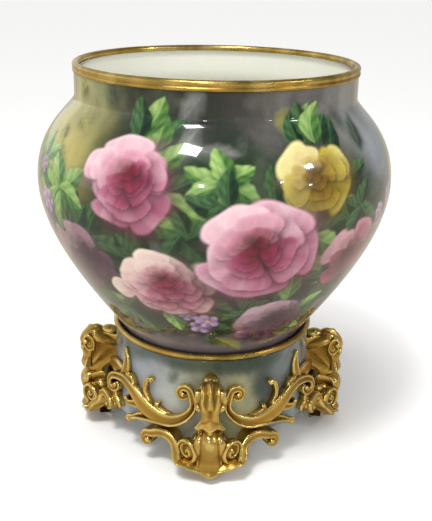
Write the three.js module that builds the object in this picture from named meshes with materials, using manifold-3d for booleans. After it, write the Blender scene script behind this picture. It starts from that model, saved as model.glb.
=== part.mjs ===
// Round porcelain flower pot seated loose in a porcelain stand with four moulded scroll feet.
// Millimetres, +Z up. The origin lies on the floor under the pot's axis.
// The front foot points along -Y and the left foot along -X.

import * as THREE from "three";
import { mergeVertices } from "three/addons/utils/BufferGeometryUtils.js";
import Module from "manifold-3d";

const wasm = await Module();
wasm.setup();

// Driving dimensions of the bowl
const bowlHeight = 251.3; // foot ring to the top of the rim
const bellyRadius = 150.4;
const bellyShare = 0.603; // height of the belly as a share of the bowl's height to the shoulder
const shoulderDrop = 29.6; // shoulder corner below the top of the neck
const neckRadius = 117.6;
const shoulderStep = 2.9; // how far the shoulder's edge stands outside the neck
const bowlWall = 5;
const bowlBase = 7; // thickness of the bowl's floor
const bowlFootWidth = 6;
const bowlFootHeight = 5.7;
const bowlFootBevel = 1;

// Driving dimensions of the rim bead
const upperRoll = 3.2; // radius of the upper roll
const upperRollOut = 0.6; // its centre outside the middle of the neck's wall
const lowerRoll = 2.7; // radius of the lower roll
const rollPitch = 6.9; // height between the two rolls

// Driving dimensions of the stand
const standHeight = 98; // floor to the top edge of the wall
const standTopRadius = 88;
const standFlare = 9.5; // how much wider the wall is at the floor
const flareCurve = 1.8;
const standWall = 6;
const wallLift = 3; // the wall's lowest edge above the floor
const seatDepth = 17.7; // the bowl's foot below the stand's top edge
const ringGap = 2.25; // the bowl's wall inside the stand's top bead
const footInset = 26; // the bowl's foot inside the stand's top radius
const ledgeThickness = 6;
const ledgeBearing = 20; // how far the ledge reaches in under the bowl's foot
const topBead = 2.6; // radius of the bead round the stand's top
const archHalfWidth = 50;
const archHeight = 29;
const archSquareness = 3.4;

// Driving dimensions of the feet; "out" is measured from the stand's top radius
const consoleOut = 30; // the console's front
const crownDrop = 8.5; // the console's crown below the stand's top edge
const neckShare = 0.47; // height of the console's neck as a share of the stand's
const consoleHalfWidth = 12.6;
const eyeRadius = 8;
const eyeProud = 9.4; // half the distance between the faces of a console's two spirals
const crestRadius = 5.6;
const crestOut = 6.4; // centre of the crest bead
const crestDrop = 3.9; // centre of the crest bead below the console's crown
const shellOut = 33; // the shell's belly
const tongueOut = 38; // tip of the shell's tongue
const shellHalfWidth = 13.2;
const fluteDepth = 1.1; // depth of the shell's flutes at its top
const shellEdgeDrop = 1.65; // how far the shell's side edges lie behind its middle
const spiralRadius = 10.8;
const spiralThickness = 6;
const spiralAcross = 17.5;
const spiralOut = 21.5;
const spiralUp = 0.6; // height of the spirals as a share of the shell's
const spiralYaw = 47; // degrees that each end spiral is turned towards the front
const toeHalfWidth = 24.6;
const toeHeight = 19;
const toeOut = 29.4; // edge of the toe's flange

// Driving dimensions of the scrollwork
const scrollProud = 9.4; // how far a branch stands out from the wall
const scrollHalfWidth = 6; // half width of a branch where it is widest
const smallVolute = 7.4; // radius of the volute beside a wide foot
const largeVolute = 11.6; // radius of the volute beside a narrow foot
const wideReach = 33; // degrees round from a wide foot to the end of its bracket
const narrowReach = 26; // the same beside a narrow foot

// Clearance that a piece keeps to what it sits on
const seatGap = 0.3;
const sprigSeat = 0.45; // the same under a sprig's flat back, which bridges the wall's curve

// Sizes that follow from these
const bowlSeat = standHeight - seatDepth;
const bowlFootRadius = standTopRadius - footInset;
const ledgeHole = bowlFootRadius - ledgeBearing;
const consoleTop = standHeight - crownDrop;
const consoleNeck = neckShare * standHeight;
const toeBack = standTopRadius + standFlare - standWall / 2;
const ringRadius = standTopRadius - topBead / 4; // middle of the stand's top bead
const ringInside = ringRadius - topBead;

const roundSteps = 44;
const curveSteps = 7;
const heelSteps = 4;
const filletSteps = 3;
const feet = [
  { name: "front", angle: 0, bracketReach: wideReach, wide: true },
  { name: "left", angle: 90, bracketReach: narrowReach, wide: false },
  { name: "back", angle: 180, bracketReach: wideReach, wide: true },
  { name: "right", angle: 270, bracketReach: narrowReach, wide: false },
];

const porcelain = { color: 0xb9bfc0, roughness: 0.12, metalness: 0 };
const paintedGlaze = { color: 0x8f9a8c, roughness: 0.1, metalness: 0 };
const gilt = { color: 0xc9952f, roughness: 0.24, metalness: 1 };

const consoleEnd = -0.02; // the console's lower end, as a share of the way up from its neck to its top

const toRadians = THREE.MathUtils.degToRad;
const degreesPerMillimetre = THREE.MathUtils.radToDeg(1 / (standTopRadius + standFlare));

// Solids, cuts and joins

function signedVolume(points, index) {
  let sum = 0;
  for (let i = 0; i < index.length; i += 3) {
    const [a, b, c] = [0, 1, 2].map((k) => new THREE.Vector3().fromArray(points, 3 * index[i + k]));
    sum += a.dot(b.cross(c)) / 6;
  }
  return sum;
}

function solidOf(geometry) {
  const bare = geometry.clone();
  bare.deleteAttribute("normal");
  bare.deleteAttribute("uv");
  const merged = mergeVertices(bare, 1e-4);
  const points = new Float32Array(merged.attributes.position.array);
  let index = Array.from(merged.index.array);
  const distinct = (i) => new Set(index.slice(i, i + 3)).size === 3;
  index = index.filter((_, i) => distinct(i - (i % 3)));
  if (signedVolume(points, index) < 0) index.reverse();
  const mesh = new wasm.Mesh({ numProp: 3, vertProperties: points, triVerts: new Uint32Array(index) });
  return new wasm.Manifold(mesh);
}

function geometryOf(solid) {
  const mesh = solid.getMesh();
  const geometry = new THREE.BufferGeometry();
  geometry.setAttribute("position", new THREE.BufferAttribute(mesh.vertProperties.slice(), 3));
  geometry.setIndex(Array.from(mesh.triVerts));
  geometry.computeVertexNormals();
  return geometry;
}

const joined = (solids) => solids.reduce((sum, solid) => sum.add(solid));
const cutBy = (solid, cutters) => cutters.reduce((rest, cutter) => rest.subtract(cutter), solid);

// Revolve an outline of (radius, height) points about the pot's axis
function revolved(outline, steps = roundSteps) {
  const geometry = new THREE.LatheGeometry(outline, steps);
  geometry.rotateX(Math.PI / 2);
  return solidOf(geometry);
}

// Skin a row of closed rings with equal counts and cap both ends
function skinned(rings) {
  const count = rings[0].length;
  const points = rings.flat();
  const index = [];
  for (let row = 0; row + 1 < rings.length; row += 1) {
    for (let k = 0; k < count; k += 1) {
      const a = row * count + k;
      const b = row * count + ((k + 1) % count);
      index.push(a, b, a + count, b, b + count, a + count);
    }
  }
  const last = (rings.length - 1) * count;
  for (let k = 1; k + 1 < count; k += 1) {
    index.push(0, k + 1, k, last, last + k, last + k + 1);
  }
  const geometry = new THREE.BufferGeometry().setFromPoints(points);
  geometry.setIndex(index);
  return solidOf(geometry);
}

// Grow a closed outline outwards by a clearance
function grown(outline, gap) {
  if (gap === 0) return outline;
  const sense = THREE.ShapeUtils.isClockWise(outline) ? -1 : 1;
  return outline.map((point, i) => {
    const before = outline[(i + outline.length - 1) % outline.length];
    const after = outline[(i + 1) % outline.length];
    const along = after.clone().sub(before).normalize();
    return new THREE.Vector2(point.x + sense * gap * along.y, point.y - sense * gap * along.x);
  });
}

function extruded(outline, low, high) {
  const settings = { depth: high - low, bevelEnabled: false };
  const geometry = new THREE.ExtrudeGeometry(new THREE.Shape(outline), settings);
  geometry.translate(0, 0, low);
  return geometry;
}

const bezier = (points, steps) => new THREE.CubicBezierCurve(...points.map(([x, y]) => new THREE.Vector2(x, y)))
  .getPoints(steps);

function arc(x, y, radius, from, to, steps) {
  return Array.from({ length: steps + 1 }, (_, i) => {
    const angle = toRadians(from + ((to - from) * i) / steps);
    return new THREE.Vector2(x + radius * Math.cos(angle), y + radius * Math.sin(angle));
  });
}

// Turn a solid built for the front foot to the foot at this angle
const turnedTo = (solid, angle) => solid.rotate([0, 0, -angle]);

// Heights at which the stand's wall has its rings, and its outer radius at any height between them
const wallLevels = [wallLift, ...[0.14, 0.32, 0.55, 1].map((share) => share * standHeight)];

function wallRadius(height) {
  const flared = (h) => standTopRadius + standFlare * (1 - h / standHeight) ** flareCurve;
  const above = Math.max(1, wallLevels.findIndex((level, i) => level >= height || i === wallLevels.length - 1));
  const [low, high] = [wallLevels[above - 1], wallLevels[above]];
  const share = THREE.MathUtils.clamp((height - low) / (high - low), 0, 1);
  return THREE.MathUtils.lerp(flared(low), flared(high), share);
}

// Point so far out from the stand's wall, so many degrees round from a foot to one side
function wallPoint(along, height, out, foot, side) {
  const angle = toRadians(foot + side * along);
  const radius = wallRadius(height) + out;
  return new THREE.Vector3(-radius * Math.sin(angle), -radius * Math.cos(angle), height);
}

// The bowl

const rimTop = bowlSeat + bowlHeight;
const neckTop = rimTop - 2 * upperRoll;
const shoulderHeight = neckTop - shoulderDrop + upperRoll;
const bellyHeight = bowlSeat + bowlFootHeight + bellyShare * (shoulderHeight - bowlSeat);
const mouthRadius = neckRadius - bowlWall;

// Point a share of the way across and up from one point to another
const between = ([x, y], [toX, toY], across, up) => [x + across * (toX - x), y + up * (toY - y)];

function bowlWallCurve() {
  const foot = [bowlFootRadius, bowlSeat + bowlFootHeight];
  const ring = [ringInside - ringGap, standHeight + seatGap + topBead];
  const belly = [bellyRadius, bellyHeight];
  const edge = [neckRadius + shoulderStep, shoulderHeight];
  const bend = (start, end, near, far, steps) => (
    bezier([start, between(start, end, ...near), between(start, end, ...far), end], steps));
  const heel = bend(foot, ring, [0.59, 0.13], [0.86, 0.67], heelSteps);
  const lower = bend(ring, belly, [0.2, 0.17], [1, 0.623], curveSteps);
  const upper = bend(belly, edge, [0, 0.56], [0.65, 0.805], curveSteps);
  const fillet = bezier([
    edge,
    [edge[0] - 0.62 * shoulderStep, shoulderHeight + shoulderStep],
    [neckRadius, shoulderHeight + 1.4 * shoulderStep],
    [neckRadius, shoulderHeight + 3 * shoulderStep],
  ], filletSteps);
  const neck = new THREE.Vector2(neckRadius, neckTop);
  return [...heel, ...lower.slice(1), ...upper.slice(1), ...fillet.slice(1), neck];
}

// The same curve set in by the wall's thickness, from the neck down to the bowl's floor
function bowlInnerCurve(outer) {
  const inner = outer.map((point, i) => {
    const before = outer[Math.max(i - 1, 0)];
    const after = outer[Math.min(i + 1, outer.length - 1)];
    const along = after.clone().sub(before).normalize();
    return new THREE.Vector2(point.x - bowlWall * along.y, point.y + bowlWall * along.x);
  });
  const floor = bowlSeat + bowlFootHeight + bowlBase;
  return inner.reverse().filter((point, i) => i % 2 === 0 && point.y > floor + bowlWall / 2);
}

function bowlBody() {
  const outer = bowlWallCurve();
  const inner = bowlInnerCurve(outer);
  const base = bowlSeat + bowlFootHeight;
  const floor = base + bowlBase;
  const innerEdge = inner[inner.length - 1];
  return revolved([
    new THREE.Vector2(0, base),
    new THREE.Vector2(bowlFootRadius - bowlFootWidth, base),
    new THREE.Vector2(bowlFootRadius - bowlFootWidth, bowlSeat),
    new THREE.Vector2(bowlFootRadius - bowlFootBevel, bowlSeat),
    ...outer,
    ...inner,
    new THREE.Vector2(innerEdge.x - bowlWall, floor),
    new THREE.Vector2(0, floor),
  ]);
}

function rimBead() {
  const upperHeight = rimTop - upperRoll;
  const upperCentre = neckRadius - bowlWall / 2 + upperRollOut;
  const lowerCentre = neckRadius + seatGap;
  const seat = neckTop + seatGap;
  return revolved([
    new THREE.Vector2(mouthRadius, seat),
    ...arc(upperCentre, upperHeight, upperRoll, 190, -35, 6),
    ...arc(lowerCentre, upperHeight - rollPitch, lowerRoll, 55, -90, 4),
    new THREE.Vector2(neckRadius + seatGap, seat),
    new THREE.Vector2(mouthRadius, seat),
  ]);
}

// The stand

const ledgeTop = bowlSeat - seatGap;

function standOutline() {
  const outer = wallLevels.map((h) => new THREE.Vector2(wallRadius(h), h));
  const inside = (h) => new THREE.Vector2(wallRadius(h) - standWall, h);
  const ledgeBottom = ledgeTop - ledgeThickness;
  return [
    ...outer,
    inside(standHeight),
    inside(ledgeTop),
    new THREE.Vector2(ledgeHole, ledgeTop),
    new THREE.Vector2(ledgeHole, ledgeBottom),
    inside(ledgeBottom),
    ...wallLevels.filter((h) => h < ledgeBottom).reverse().map(inside),
    outer[0],
  ];
}

// Arch cut through the wall between two feet, drawn as a squared round
function archCutter(angle) {
  const round = Array.from({ length: 17 }, (_, i) => {
    const turn = (Math.PI * i) / 16;
    const power = 2 / archSquareness;
    const across = archHalfWidth * Math.sign(Math.cos(turn)) * Math.abs(Math.cos(turn)) ** power;
    return new THREE.Vector2(across, archHeight * Math.sin(turn) ** power);
  });
  const outline = [new THREE.Vector2(archHalfWidth, -archHeight), ...round,
    new THREE.Vector2(-archHalfWidth, -archHeight)];
  const geometry = extruded(outline, standTopRadius / 2, 2 * standTopRadius);
  geometry.rotateX(Math.PI / 2);
  return turnedTo(solidOf(geometry), angle);
}

function standBody() {
  const arches = feet.map((foot) => archCutter(foot.angle + 45));
  return cutBy(revolved(standOutline()), arches);
}

function topBeadRing() {
  const round = arc(ringRadius, standHeight + seatGap + topBead, topBead, -90, 270, 7);
  return revolved(round.map((p) => new THREE.Vector2(p.x, Math.max(p.y, standHeight + seatGap))));
}

// Everything inside the wall's outer face, with its clearance
function wallCutter() {
  const heights = [-standHeight, ...wallLevels, 2 * standHeight];
  const face = heights.map((h) => new THREE.Vector2(wallRadius(h) + seatGap, h));
  return revolved([new THREE.Vector2(0, heights[0]), ...face, new THREE.Vector2(0, 2 * standHeight)]);
}

// The feet, each built for the front and turned to its place

// Point of a foot's middle plane, as shares of the way out from the stand's top radius to the console's
// front and up from its neck to its top
function consolePoint([out, up]) {
  const rise = consoleTop - consoleNeck;
  return new THREE.Vector2(standTopRadius + out * consoleOut, consoleNeck + up * rise);
}

// Side outline of a console in (distance from the axis, height)
function consoleSide() {
  const back = standTopRadius - standWall;
  const front = new THREE.SplineCurve([
    [0, 0.84], [0.2, 0.92], [0.42, 0.99], [0.62, 0.98], [0.83, 0.9], [1.02, 0.75], [1.12, 0.6],
    [1.1, 0.45], [1.14, 0.32], [1.09, 0.2], [0.98, 0.08], [0.82, consoleEnd],
  ].map(consolePoint)).getPoints(14);
  return [new THREE.Vector2(back, front.at(-1).y), new THREE.Vector2(back, front[0].y), ...front];
}

// Face of a console from its crown down to its neck, as shares of its half width and height
function consoleFace() {
  const stops = [[0.56, 1.12], [0.8, 0.97], [1, 0.84], [0.92, 0.7], [0.62, 0.5], [0.66, 0.38], [0.97, 0.22],
    [0.8, 0.1], [0.56, -0.06]];
  const right = new THREE.SplineCurve(stops.map(([wide, up]) => (
    new THREE.Vector2(wide * consoleHalfWidth, consolePoint([0, up]).y)))).getPoints(14);
  return [...right, ...right.map((p) => new THREE.Vector2(-p.x, p.y)).reverse()];
}

// The side outline within the face's outline, with a spiral at each side
function consoleSolid(gap) {
  const side = extruded(grown(consoleSide(), gap), -2 * consoleHalfWidth, 2 * consoleHalfWidth);
  side.applyMatrix4(new THREE.Matrix4().makeBasis(
    new THREE.Vector3(0, -1, 0), new THREE.Vector3(0, 0, 1), new THREE.Vector3(-1, 0, 0)));
  const face = extruded(grown(consoleFace(), gap), 0, 2 * standTopRadius);
  face.rotateX(Math.PI / 2);
  const eye = new THREE.CylinderGeometry(eyeRadius + gap, eyeRadius + gap, 2 * (eyeProud + gap), 12);
  eye.rotateZ(Math.PI / 2);
  const middle = consolePoint([0.82, 0.64]);
  eye.translate(0, -middle.x, middle.y);
  return joined([solidOf(side).intersect(solidOf(face)), solidOf(eye)]);
}

function crestBead(gap) {
  const ball = new THREE.SphereGeometry(crestRadius + gap, 12, 7);
  ball.rotateX(Math.PI / 2);
  ball.translate(0, -standTopRadius - crestOut, consoleTop - crestDrop);
  return solidOf(ball);
}

// Fluted shell that bulges under the console, draws in and runs out in a tongue, with a spiral at each side
function shellSolid(gap) {
  const top = consolePoint([0, consoleEnd]).y - seatGap;
  const waist = 0.44;
  // height, reach as a share of tongueOut, then of shellOut, and half width
  const tongue = [[0.07, 0.97, 0.36], [0.12, 1, 0.56], [0.2, 1, 0.72], [0.29, 0.92, 0.76], [0.37, 0.81, 0.76]];
  const belly = [
    [waist, 0.83, 0.8], [0.52, 0.82, 0.88], [0.62, 0.885, 0.96], [0.74, 0.965, 1], [0.86, 1, 1],
    [0.94, 0.945, 0.94], [1, 0.78, 0.8],
  ];
  const levels = [
    ...tongue.map(([up, out, wide]) => [up, out * tongueOut, wide]),
    ...belly.map(([up, out, wide]) => [up, out * shellOut, wide]),
  ];
  const rows = levels.map(([up, out, wide], i) => {
    const lift = (i === 0 ? -gap : 0) + (i === levels.length - 1 ? gap : 0);
    const flute = fluteDepth * Math.max(0, (up - waist) / (1 - waist));
    const front = [-1, -0.8, -0.6, -0.4, -0.2, 0, 0.2, 0.4, 0.6, 0.8, 1].map((across) => {
      const sunk = (flute * (1 - Math.cos(3 * Math.PI * across))) / 2 + shellEdgeDrop * across ** 4;
      return [across, standTopRadius + out - sunk + gap];
    });
    const back = [0.9, -0.9].map((across) => [across, standTopRadius - standWall / 2]);
    return [...front, ...back].map(([across, reach]) => new THREE.Vector3(
      across * (wide * shellHalfWidth + gap), -reach, up * top + lift));
  });
  const spirals = [-1, 1].map((side) => {
    const radius = spiralRadius + gap;
    const disc = new THREE.CylinderGeometry(radius, radius, spiralThickness + 2 * gap, 14);
    disc.rotateZ(Math.PI / 2);
    disc.rotateZ(side * toRadians(-spiralYaw));
    disc.translate(side * spiralAcross, -standTopRadius - spiralOut, spiralUp * top);
    return solidOf(disc);
  });
  return joined([skinned(rows), ...spirals]);
}

// Toe: a scalloped flange over a narrower base, as shares of its height, half width and depth
function toeSolid(gap) {
  const levels = [
    [0, 0.62, 0.72], [0.36, 0.68, 0.76], [0.5, 0.94, 0.92], [0.62, 1, 1], [0.78, 0.98, 0.98], [1, 0.84, 0.8],
  ];
  const depth = standTopRadius + toeOut - toeBack;
  return skinned(levels.map(([level, wide, deep], i) => {
    const lift = (i === 0 ? -gap : 0) + (i === levels.length - 1 ? gap : 0);
    const front = Array.from({ length: 15 }, (_, k) => {
      const across = -1 + k / 7;
      const scallop = 0.06 * Math.cos(3 * Math.PI * across) - 0.2 * across ** 4;
      return [across, toeBack + (1 + scallop) * depth * deep + gap];
    });
    const back = [[0.86, toeBack], [-0.86, toeBack]];
    return [...front, ...back].map(([across, reach]) => new THREE.Vector3(
      across * (wide * toeHalfWidth + gap), -reach, level * toeHeight + lift));
  }));
}

// Scrollwork on the wall between the feet, as stops of [degrees along the wall, height as a share of the
// stand's, front as a share of scrollProud, half width as a share of scrollHalfWidth, back as the front]

// Stops of a spiral about a centre given in degrees along the wall and height
function spiral(centre, height, from, to, startRadius, endRadius, count, rest) {
  return Array.from({ length: count }, (_, i) => {
    const share = i / (count - 1);
    const angle = toRadians(from + (to - from) * share);
    const radius = startRadius * (endRadius / startRadius) ** share;
    const up = height + (radius * Math.sin(angle)) / standHeight;
    return [centre + radius * Math.cos(angle) * degreesPerMillimetre, up, ...rest(share)];
  });
}

// Section of a sprig: across as a share of its half width, out as a share of the way to its front
const sprigSection = [[-1, 0], [1, 0], [0.82, 0.62], [0, 1], [-0.82, 0.62]];

// Flat-backed sprig swept through its stops
function sprig(stops, foot, side, gap, steps) {
  const path = new THREE.CatmullRomCurve3(stops.map(([along, up]) => (
    new THREE.Vector3(along, up * standHeight, 0))));
  const size = new THREE.CatmullRomCurve3(stops.map(([, , front, wide, back = 0]) => new THREE.Vector3(
    front * scrollProud, wide * scrollHalfWidth, back * scrollProud + sprigSeat)));
  const rings = Array.from({ length: steps + 1 }, (_, i) => {
    const t = i / steps;
    const middle = path.getPoint(t);
    const ahead = path.getPoint(Math.min(t + 1e-3, 1)).sub(path.getPoint(Math.max(t - 1e-3, 0)));
    const along = new THREE.Vector2(ahead.x / degreesPerMillimetre, ahead.y).normalize();
    const { x: front, y: halfWidth, z: back } = size.getPoint(t);
    return sprigSection.map(([across, out]) => {
      const offset = across * (halfWidth + gap);
      const reach = THREE.MathUtils.lerp(back - gap, front + gap, out);
      return wallPoint(middle.x - offset * along.y * degreesPerMillimetre, middle.y + offset * along.x,
        reach, foot, side);
    });
  });
  return skinned(rings);
}

// Acanthus scroll from the small volute beside a wide foot to the large volute beside a narrow one
function branchSolid(foot, side, gap = 0) {
  const stem = [
    ...spiral(13.8, 0.702, -215, 180, 0.32 * smallVolute, smallVolute, 10,
      (s) => [0.55 + 0.25 * s, 0.2 + 0.25 * s]),
    [8.6, 0.647, 0.79, 0.48], [8.8, 0.577, 0.85, 0.57], [11.2, 0.516, 0.91, 0.68],
    [16.2, 0.465, 0.97, 0.78], [22.5, 0.448, 0.98, 0.87], [30.5, 0.476, 1, 1.02], [37.5, 0.533, 1, 1.07],
    [43.8, 0.622, 1, 0.87], [49, 0.671, 1, 0.77], [53.6, 0.68, 1, 0.7],
    ...spiral(63.2, 0.527, 108, -245, largeVolute, 0.2 * largeVolute, 11,
      (s) => [1 - 0.15 * s, 0.64 - 0.34 * s]),
  ];
  const leaves = [
    [[29, 0.474, 0.79, 0.53], [32.6, 0.561, 0.85, 0.37], [35.6, 0.663, 0.87, 0.33],
    [34.6, 0.755, 0.87, 0.38], [31.2, 0.773, 0.68, 0.18]],
    [[21.5, 0.464, 0.74, 0.67], [25.6, 0.496, 0.79, 0.5], [28.4, 0.537, 0.74, 0.33],
    [27.8, 0.576, 0.64, 0.17]],
    [[26, 0.429, 0.83, 0.77], [35, 0.414, 0.85, 0.67], [43, 0.353, 0.83, 0.42], [47.6, 0.331, 0.74, 0.28],
    [46, 0.298, 0.64, 0.15]],
    [[40, 0.5, 0.85, 0.77], [45, 0.473, 0.81, 0.47], [50.2, 0.473, 0.72, 0.3], [49.6, 0.51, 0.64, 0.15]],
    [[44.4, 0.592, 0.85, 0.77], [45.4, 0.684, 0.96, 0.63], [47.4, 0.735, 0.91, 0.47],
    [50.4, 0.714, 0.74, 0.2]],
    [[51.5, 0.653, 0.74, 1], [50.2, 0.776, 0.6, 0.83], [50.8, 0.878, 0.45, 0.47],
    [51.9, 0.943, 0.32, 0.15]],
    [[50, 0.704, 0.68, 0.83], [57, 0.743, 0.66, 0.9], [63.5, 0.745, 0.64, 0.8], [69.5, 0.729, 0.62, 0.6]],
    [[63, 0.5, 0.83, 0.57], [61, 0.413, 0.81, 0.6], [68, 0.361, 0.74, 0.47], [75.4, 0.394, 0.64, 0.23]],
  ];
  return joined([sprig(stem, foot, side, gap, 36), ...leaves.map((leaf) => sprig(leaf, foot, side, gap, 4))]);
}

// C scroll that springs from the toe, arches along the wall's lower edge and ends in a curl
function bracketSolid(foot, side, reach, gap = 0) {
  const springing = [
    [12.8, 0.133, 2.07, 0.47, 0.96], [13.8, 0.192, 1.98, 0.53, 0.7], [15.2, 0.249, 1.81, 0.55, 0.32],
    [17.8, 0.31, 1.53, 0.57, 0],
  ];
  // the free part, its first number a share of the way from the springing to the reach
  const free = [
    [0.243, 0.341, 1.36, 0.58], [0.5, 0.335, 1.26, 0.58], [0.737, 0.302, 1.17, 0.57],
    [0.895, 0.251, 1.13, 0.53], [0.908, 0.2, 1.06, 0.47], [0.763, 0.176, 0.98, 0.37],
    [0.632, 0.2, 0.89, 0.27],
  ];
  const start = springing.at(-1)[0];
  const stops = [...springing, ...free.map(([share, ...rest]) => [start + share * (reach - start), ...rest])];
  return sprig(stops, foot, side, gap, 18);
}

// The assembly

const flowerPot = new THREE.Group();

function place(name, solid, finish) {
  const mesh = new THREE.Mesh(geometryOf(solid), new THREE.MeshStandardMaterial(finish));
  mesh.name = name;
  flowerPot.add(mesh);
}

place("bowl_body", bowlBody(), paintedGlaze);
place("bowl_rim_bead", rimBead(), gilt);
place("stand_body", standBody(), porcelain);
place("stand_top_bead", topBeadRing(), gilt);

const wall = wallCutter();
const opposite = { 1: "left", [-1]: "right" };

for (const foot of feet) {
  const turn = (solid) => turnedTo(solid, foot.angle);
  place(`console_${foot.name}`, turn(cutBy(consoleSolid(0), [wall])), gilt);
  place(`crest_bead_${foot.name}`, turn(cutBy(crestBead(0), [wall, consoleSolid(seatGap)])), gilt);
  place(`foot_roll_${foot.name}`, turn(cutBy(shellSolid(0), [wall, consoleSolid(seatGap)])), gilt);
  place(`toe_${foot.name}`, turn(cutBy(toeSolid(0), [wall, shellSolid(seatGap)])), gilt);
}

const footCutters = feet.map((foot) => turnedTo(
  joined([consoleSolid(seatGap), shellSolid(seatGap), toeSolid(seatGap)]), foot.angle));

for (const foot of feet.filter(({ wide }) => wide)) {
  for (const side of [1, -1]) {
    const hand = opposite[foot.angle === 0 ? side : -side];
    place(`branch_${foot.name}_${hand}`, cutBy(branchSolid(foot.angle, side), footCutters), gilt);
  }
}

for (const foot of feet) {
  for (const side of [1, -1]) {
    const next = feet.find(({ angle }) => angle === (foot.angle + side * 90 + 360) % 360);
    const branches = feet.filter(({ wide }) => wide).flatMap(({ angle }) => [1, -1]
      .map((hand) => branchSolid(angle, hand, seatGap)));
    const solid = cutBy(bracketSolid(foot.angle, side, foot.bracketReach), [...footCutters, ...branches]);
    place(`bracket_${foot.name}_${next.name}`, solid, gilt);
  }
}

export default flowerPot;
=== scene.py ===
import math
import bpy
import numpy as np
from mathutils import Matrix


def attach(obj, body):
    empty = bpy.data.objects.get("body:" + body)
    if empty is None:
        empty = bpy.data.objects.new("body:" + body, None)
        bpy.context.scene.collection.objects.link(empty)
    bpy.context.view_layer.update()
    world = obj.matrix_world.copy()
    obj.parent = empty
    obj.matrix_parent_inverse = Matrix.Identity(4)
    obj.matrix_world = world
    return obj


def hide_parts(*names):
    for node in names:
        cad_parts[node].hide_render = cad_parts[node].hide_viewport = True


# Round painted flower pot with a gilt rim, seated in a stand with four gilt scroll feet.
# Lengths in the dictionaries are millimetres and angles are degrees, unless a note says otherwise.

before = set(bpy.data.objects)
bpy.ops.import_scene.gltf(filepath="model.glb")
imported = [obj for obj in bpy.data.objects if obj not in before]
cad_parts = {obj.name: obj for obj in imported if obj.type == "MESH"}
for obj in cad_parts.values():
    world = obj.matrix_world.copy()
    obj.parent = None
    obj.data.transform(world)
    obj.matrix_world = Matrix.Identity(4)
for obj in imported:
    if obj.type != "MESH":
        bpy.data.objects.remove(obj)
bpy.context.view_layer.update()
millimetre = 0.001
print("frame loaded:", len(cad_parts), "nodes")


def addObject(name, data):
    made = bpy.data.objects.new(name, data)
    bpy.context.scene.collection.objects.link(made)
    return made


# Camera

view = {
    "focal": 851.11,  # pixels
    "imageHeight": 521,  # pixels
    "distance": 719.9,
    "height": 418.8,
    "pitch": 20.17,
    "yaw": 0.215,
    "roll": 1.1,
    "sensor": 24.0,
    "farthest": 100,  # metres
}


def addCamera():
    data = bpy.data.cameras.new("camera")
    data.sensor_fit = "VERTICAL"
    data.sensor_height = view["sensor"]
    data.lens = view["focal"] / view["imageHeight"] * view["sensor"]
    data.clip_end = view["farthest"]
    turn = Matrix.Rotation(math.radians(-view["yaw"]), 4, "Z")
    tip = Matrix.Rotation(math.radians(90 - view["pitch"]), 4, "X")
    roll = Matrix.Rotation(math.radians(view["roll"]), 4, "Z")
    place = Matrix.Translation((0, -view["distance"] * millimetre, view["height"] * millimetre))
    holder = addObject("camera", data)
    holder.matrix_world = place @ turn @ tip @ roll
    bpy.context.scene.camera = holder


addCamera()

# Small helpers for node trees


def node(tree, kind, **settings):
    made = tree.nodes.new(kind)
    for name, value in settings.items():
        setattr(made, name, value)
    return made


# Give a socket a number, a colour or another socket's result
def feed(tree, socket, value):
    if isinstance(value, (float, int)):
        socket.default_value = value
    elif isinstance(value, tuple):
        socket.default_value = (*value, 1)
    else:
        tree.links.new(value, socket)


def scaled(tree, value, band, result=(0, 1)):
    made = node(tree, "ShaderNodeMapRange")
    names = ("Value", "From Min", "From Max", "To Min", "To Max")
    for name, number in zip(names, (value, *band, *result)):
        feed(tree, made.inputs[name], number)
    return made.outputs["Result"]


def mixed(tree, share, first, second, blend="MIX"):
    made = node(tree, "ShaderNodeMix", data_type="RGBA", blend_type=blend)
    for place, value in zip((0, 6, 7), (share, first, second)):
        feed(tree, made.inputs[place], value)
    return made.outputs[2]


def worked(tree, operation, *values):
    made = node(tree, "ShaderNodeMath", operation=operation)
    for place, value in enumerate(values):
        feed(tree, made.inputs[place], value)
    return made.outputs[0]


def glossyRays(tree):
    return node(tree, "ShaderNodeLightPath").outputs["Is Glossy Ray"]


# A screen colour, 0 to 255, in the linear light that shaders work in
def tone(red, green, blue):
    share = np.array([red, green, blue]) / 255
    linear = np.where(share <= 0.04045, share / 12.92, ((share + 0.055) / 1.055) ** 2.4)
    return tuple(float(value) for value in linear)


def toneRow(*rows):
    return [np.array(tone(*row)) for row in rows]


def newMaterial(name):
    made = bpy.data.materials.new(name)
    made.use_nodes = True
    return made, made.node_tree, made.node_tree.nodes["Principled BSDF"]


# Studio

studio = {
    "floor": tone(252, 252, 251),
    "mirroredFloor": tone(198, 190, 174),  # how the floor looks in the glaze and the gilding
    "floorSize": 40.0,  # metres
    "floorRoughness": 0.9,
    "floorGloss": 0.1,
    "heights": (0.1, 0.75),  # share of the way up the sky over which its light falls off
    "levels": (0.97, 0.52),  # brightness of the sky, low and high
    "mirroredLevels": (0.66, 0.3),  # the same as the glaze and the gilding show it
    "mirroredSides": (1.6, 0.42),  # how much of that they show on the left and on the right
    "sunStrength": 1.12,
    "sunAngle": 24.0,
    "sunFrom": (-0.22, -0.36, 1.0),
    "windows": {
        # name: direction round from the camera, elevation, then distance, width and height in metres, watts
        "keyWindow": (-28, 63, 1.7, 0.3, 0.26, 11),
        "sideWindow": (71, 33, 1.7, 0.16, 0.13, 3.2),
        "lowLampA": (45, 24, 1.9, 0.07, 0.05, 0.9),
        "lowLampB": (63, 15, 1.9, 0.07, 0.05, 0.7),
        "frontLamp": (-8.4, 24.4, 1.9, 0.09, 0.12, 2.0),
    },
    "aim": (0, -100, 260),
}


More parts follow.
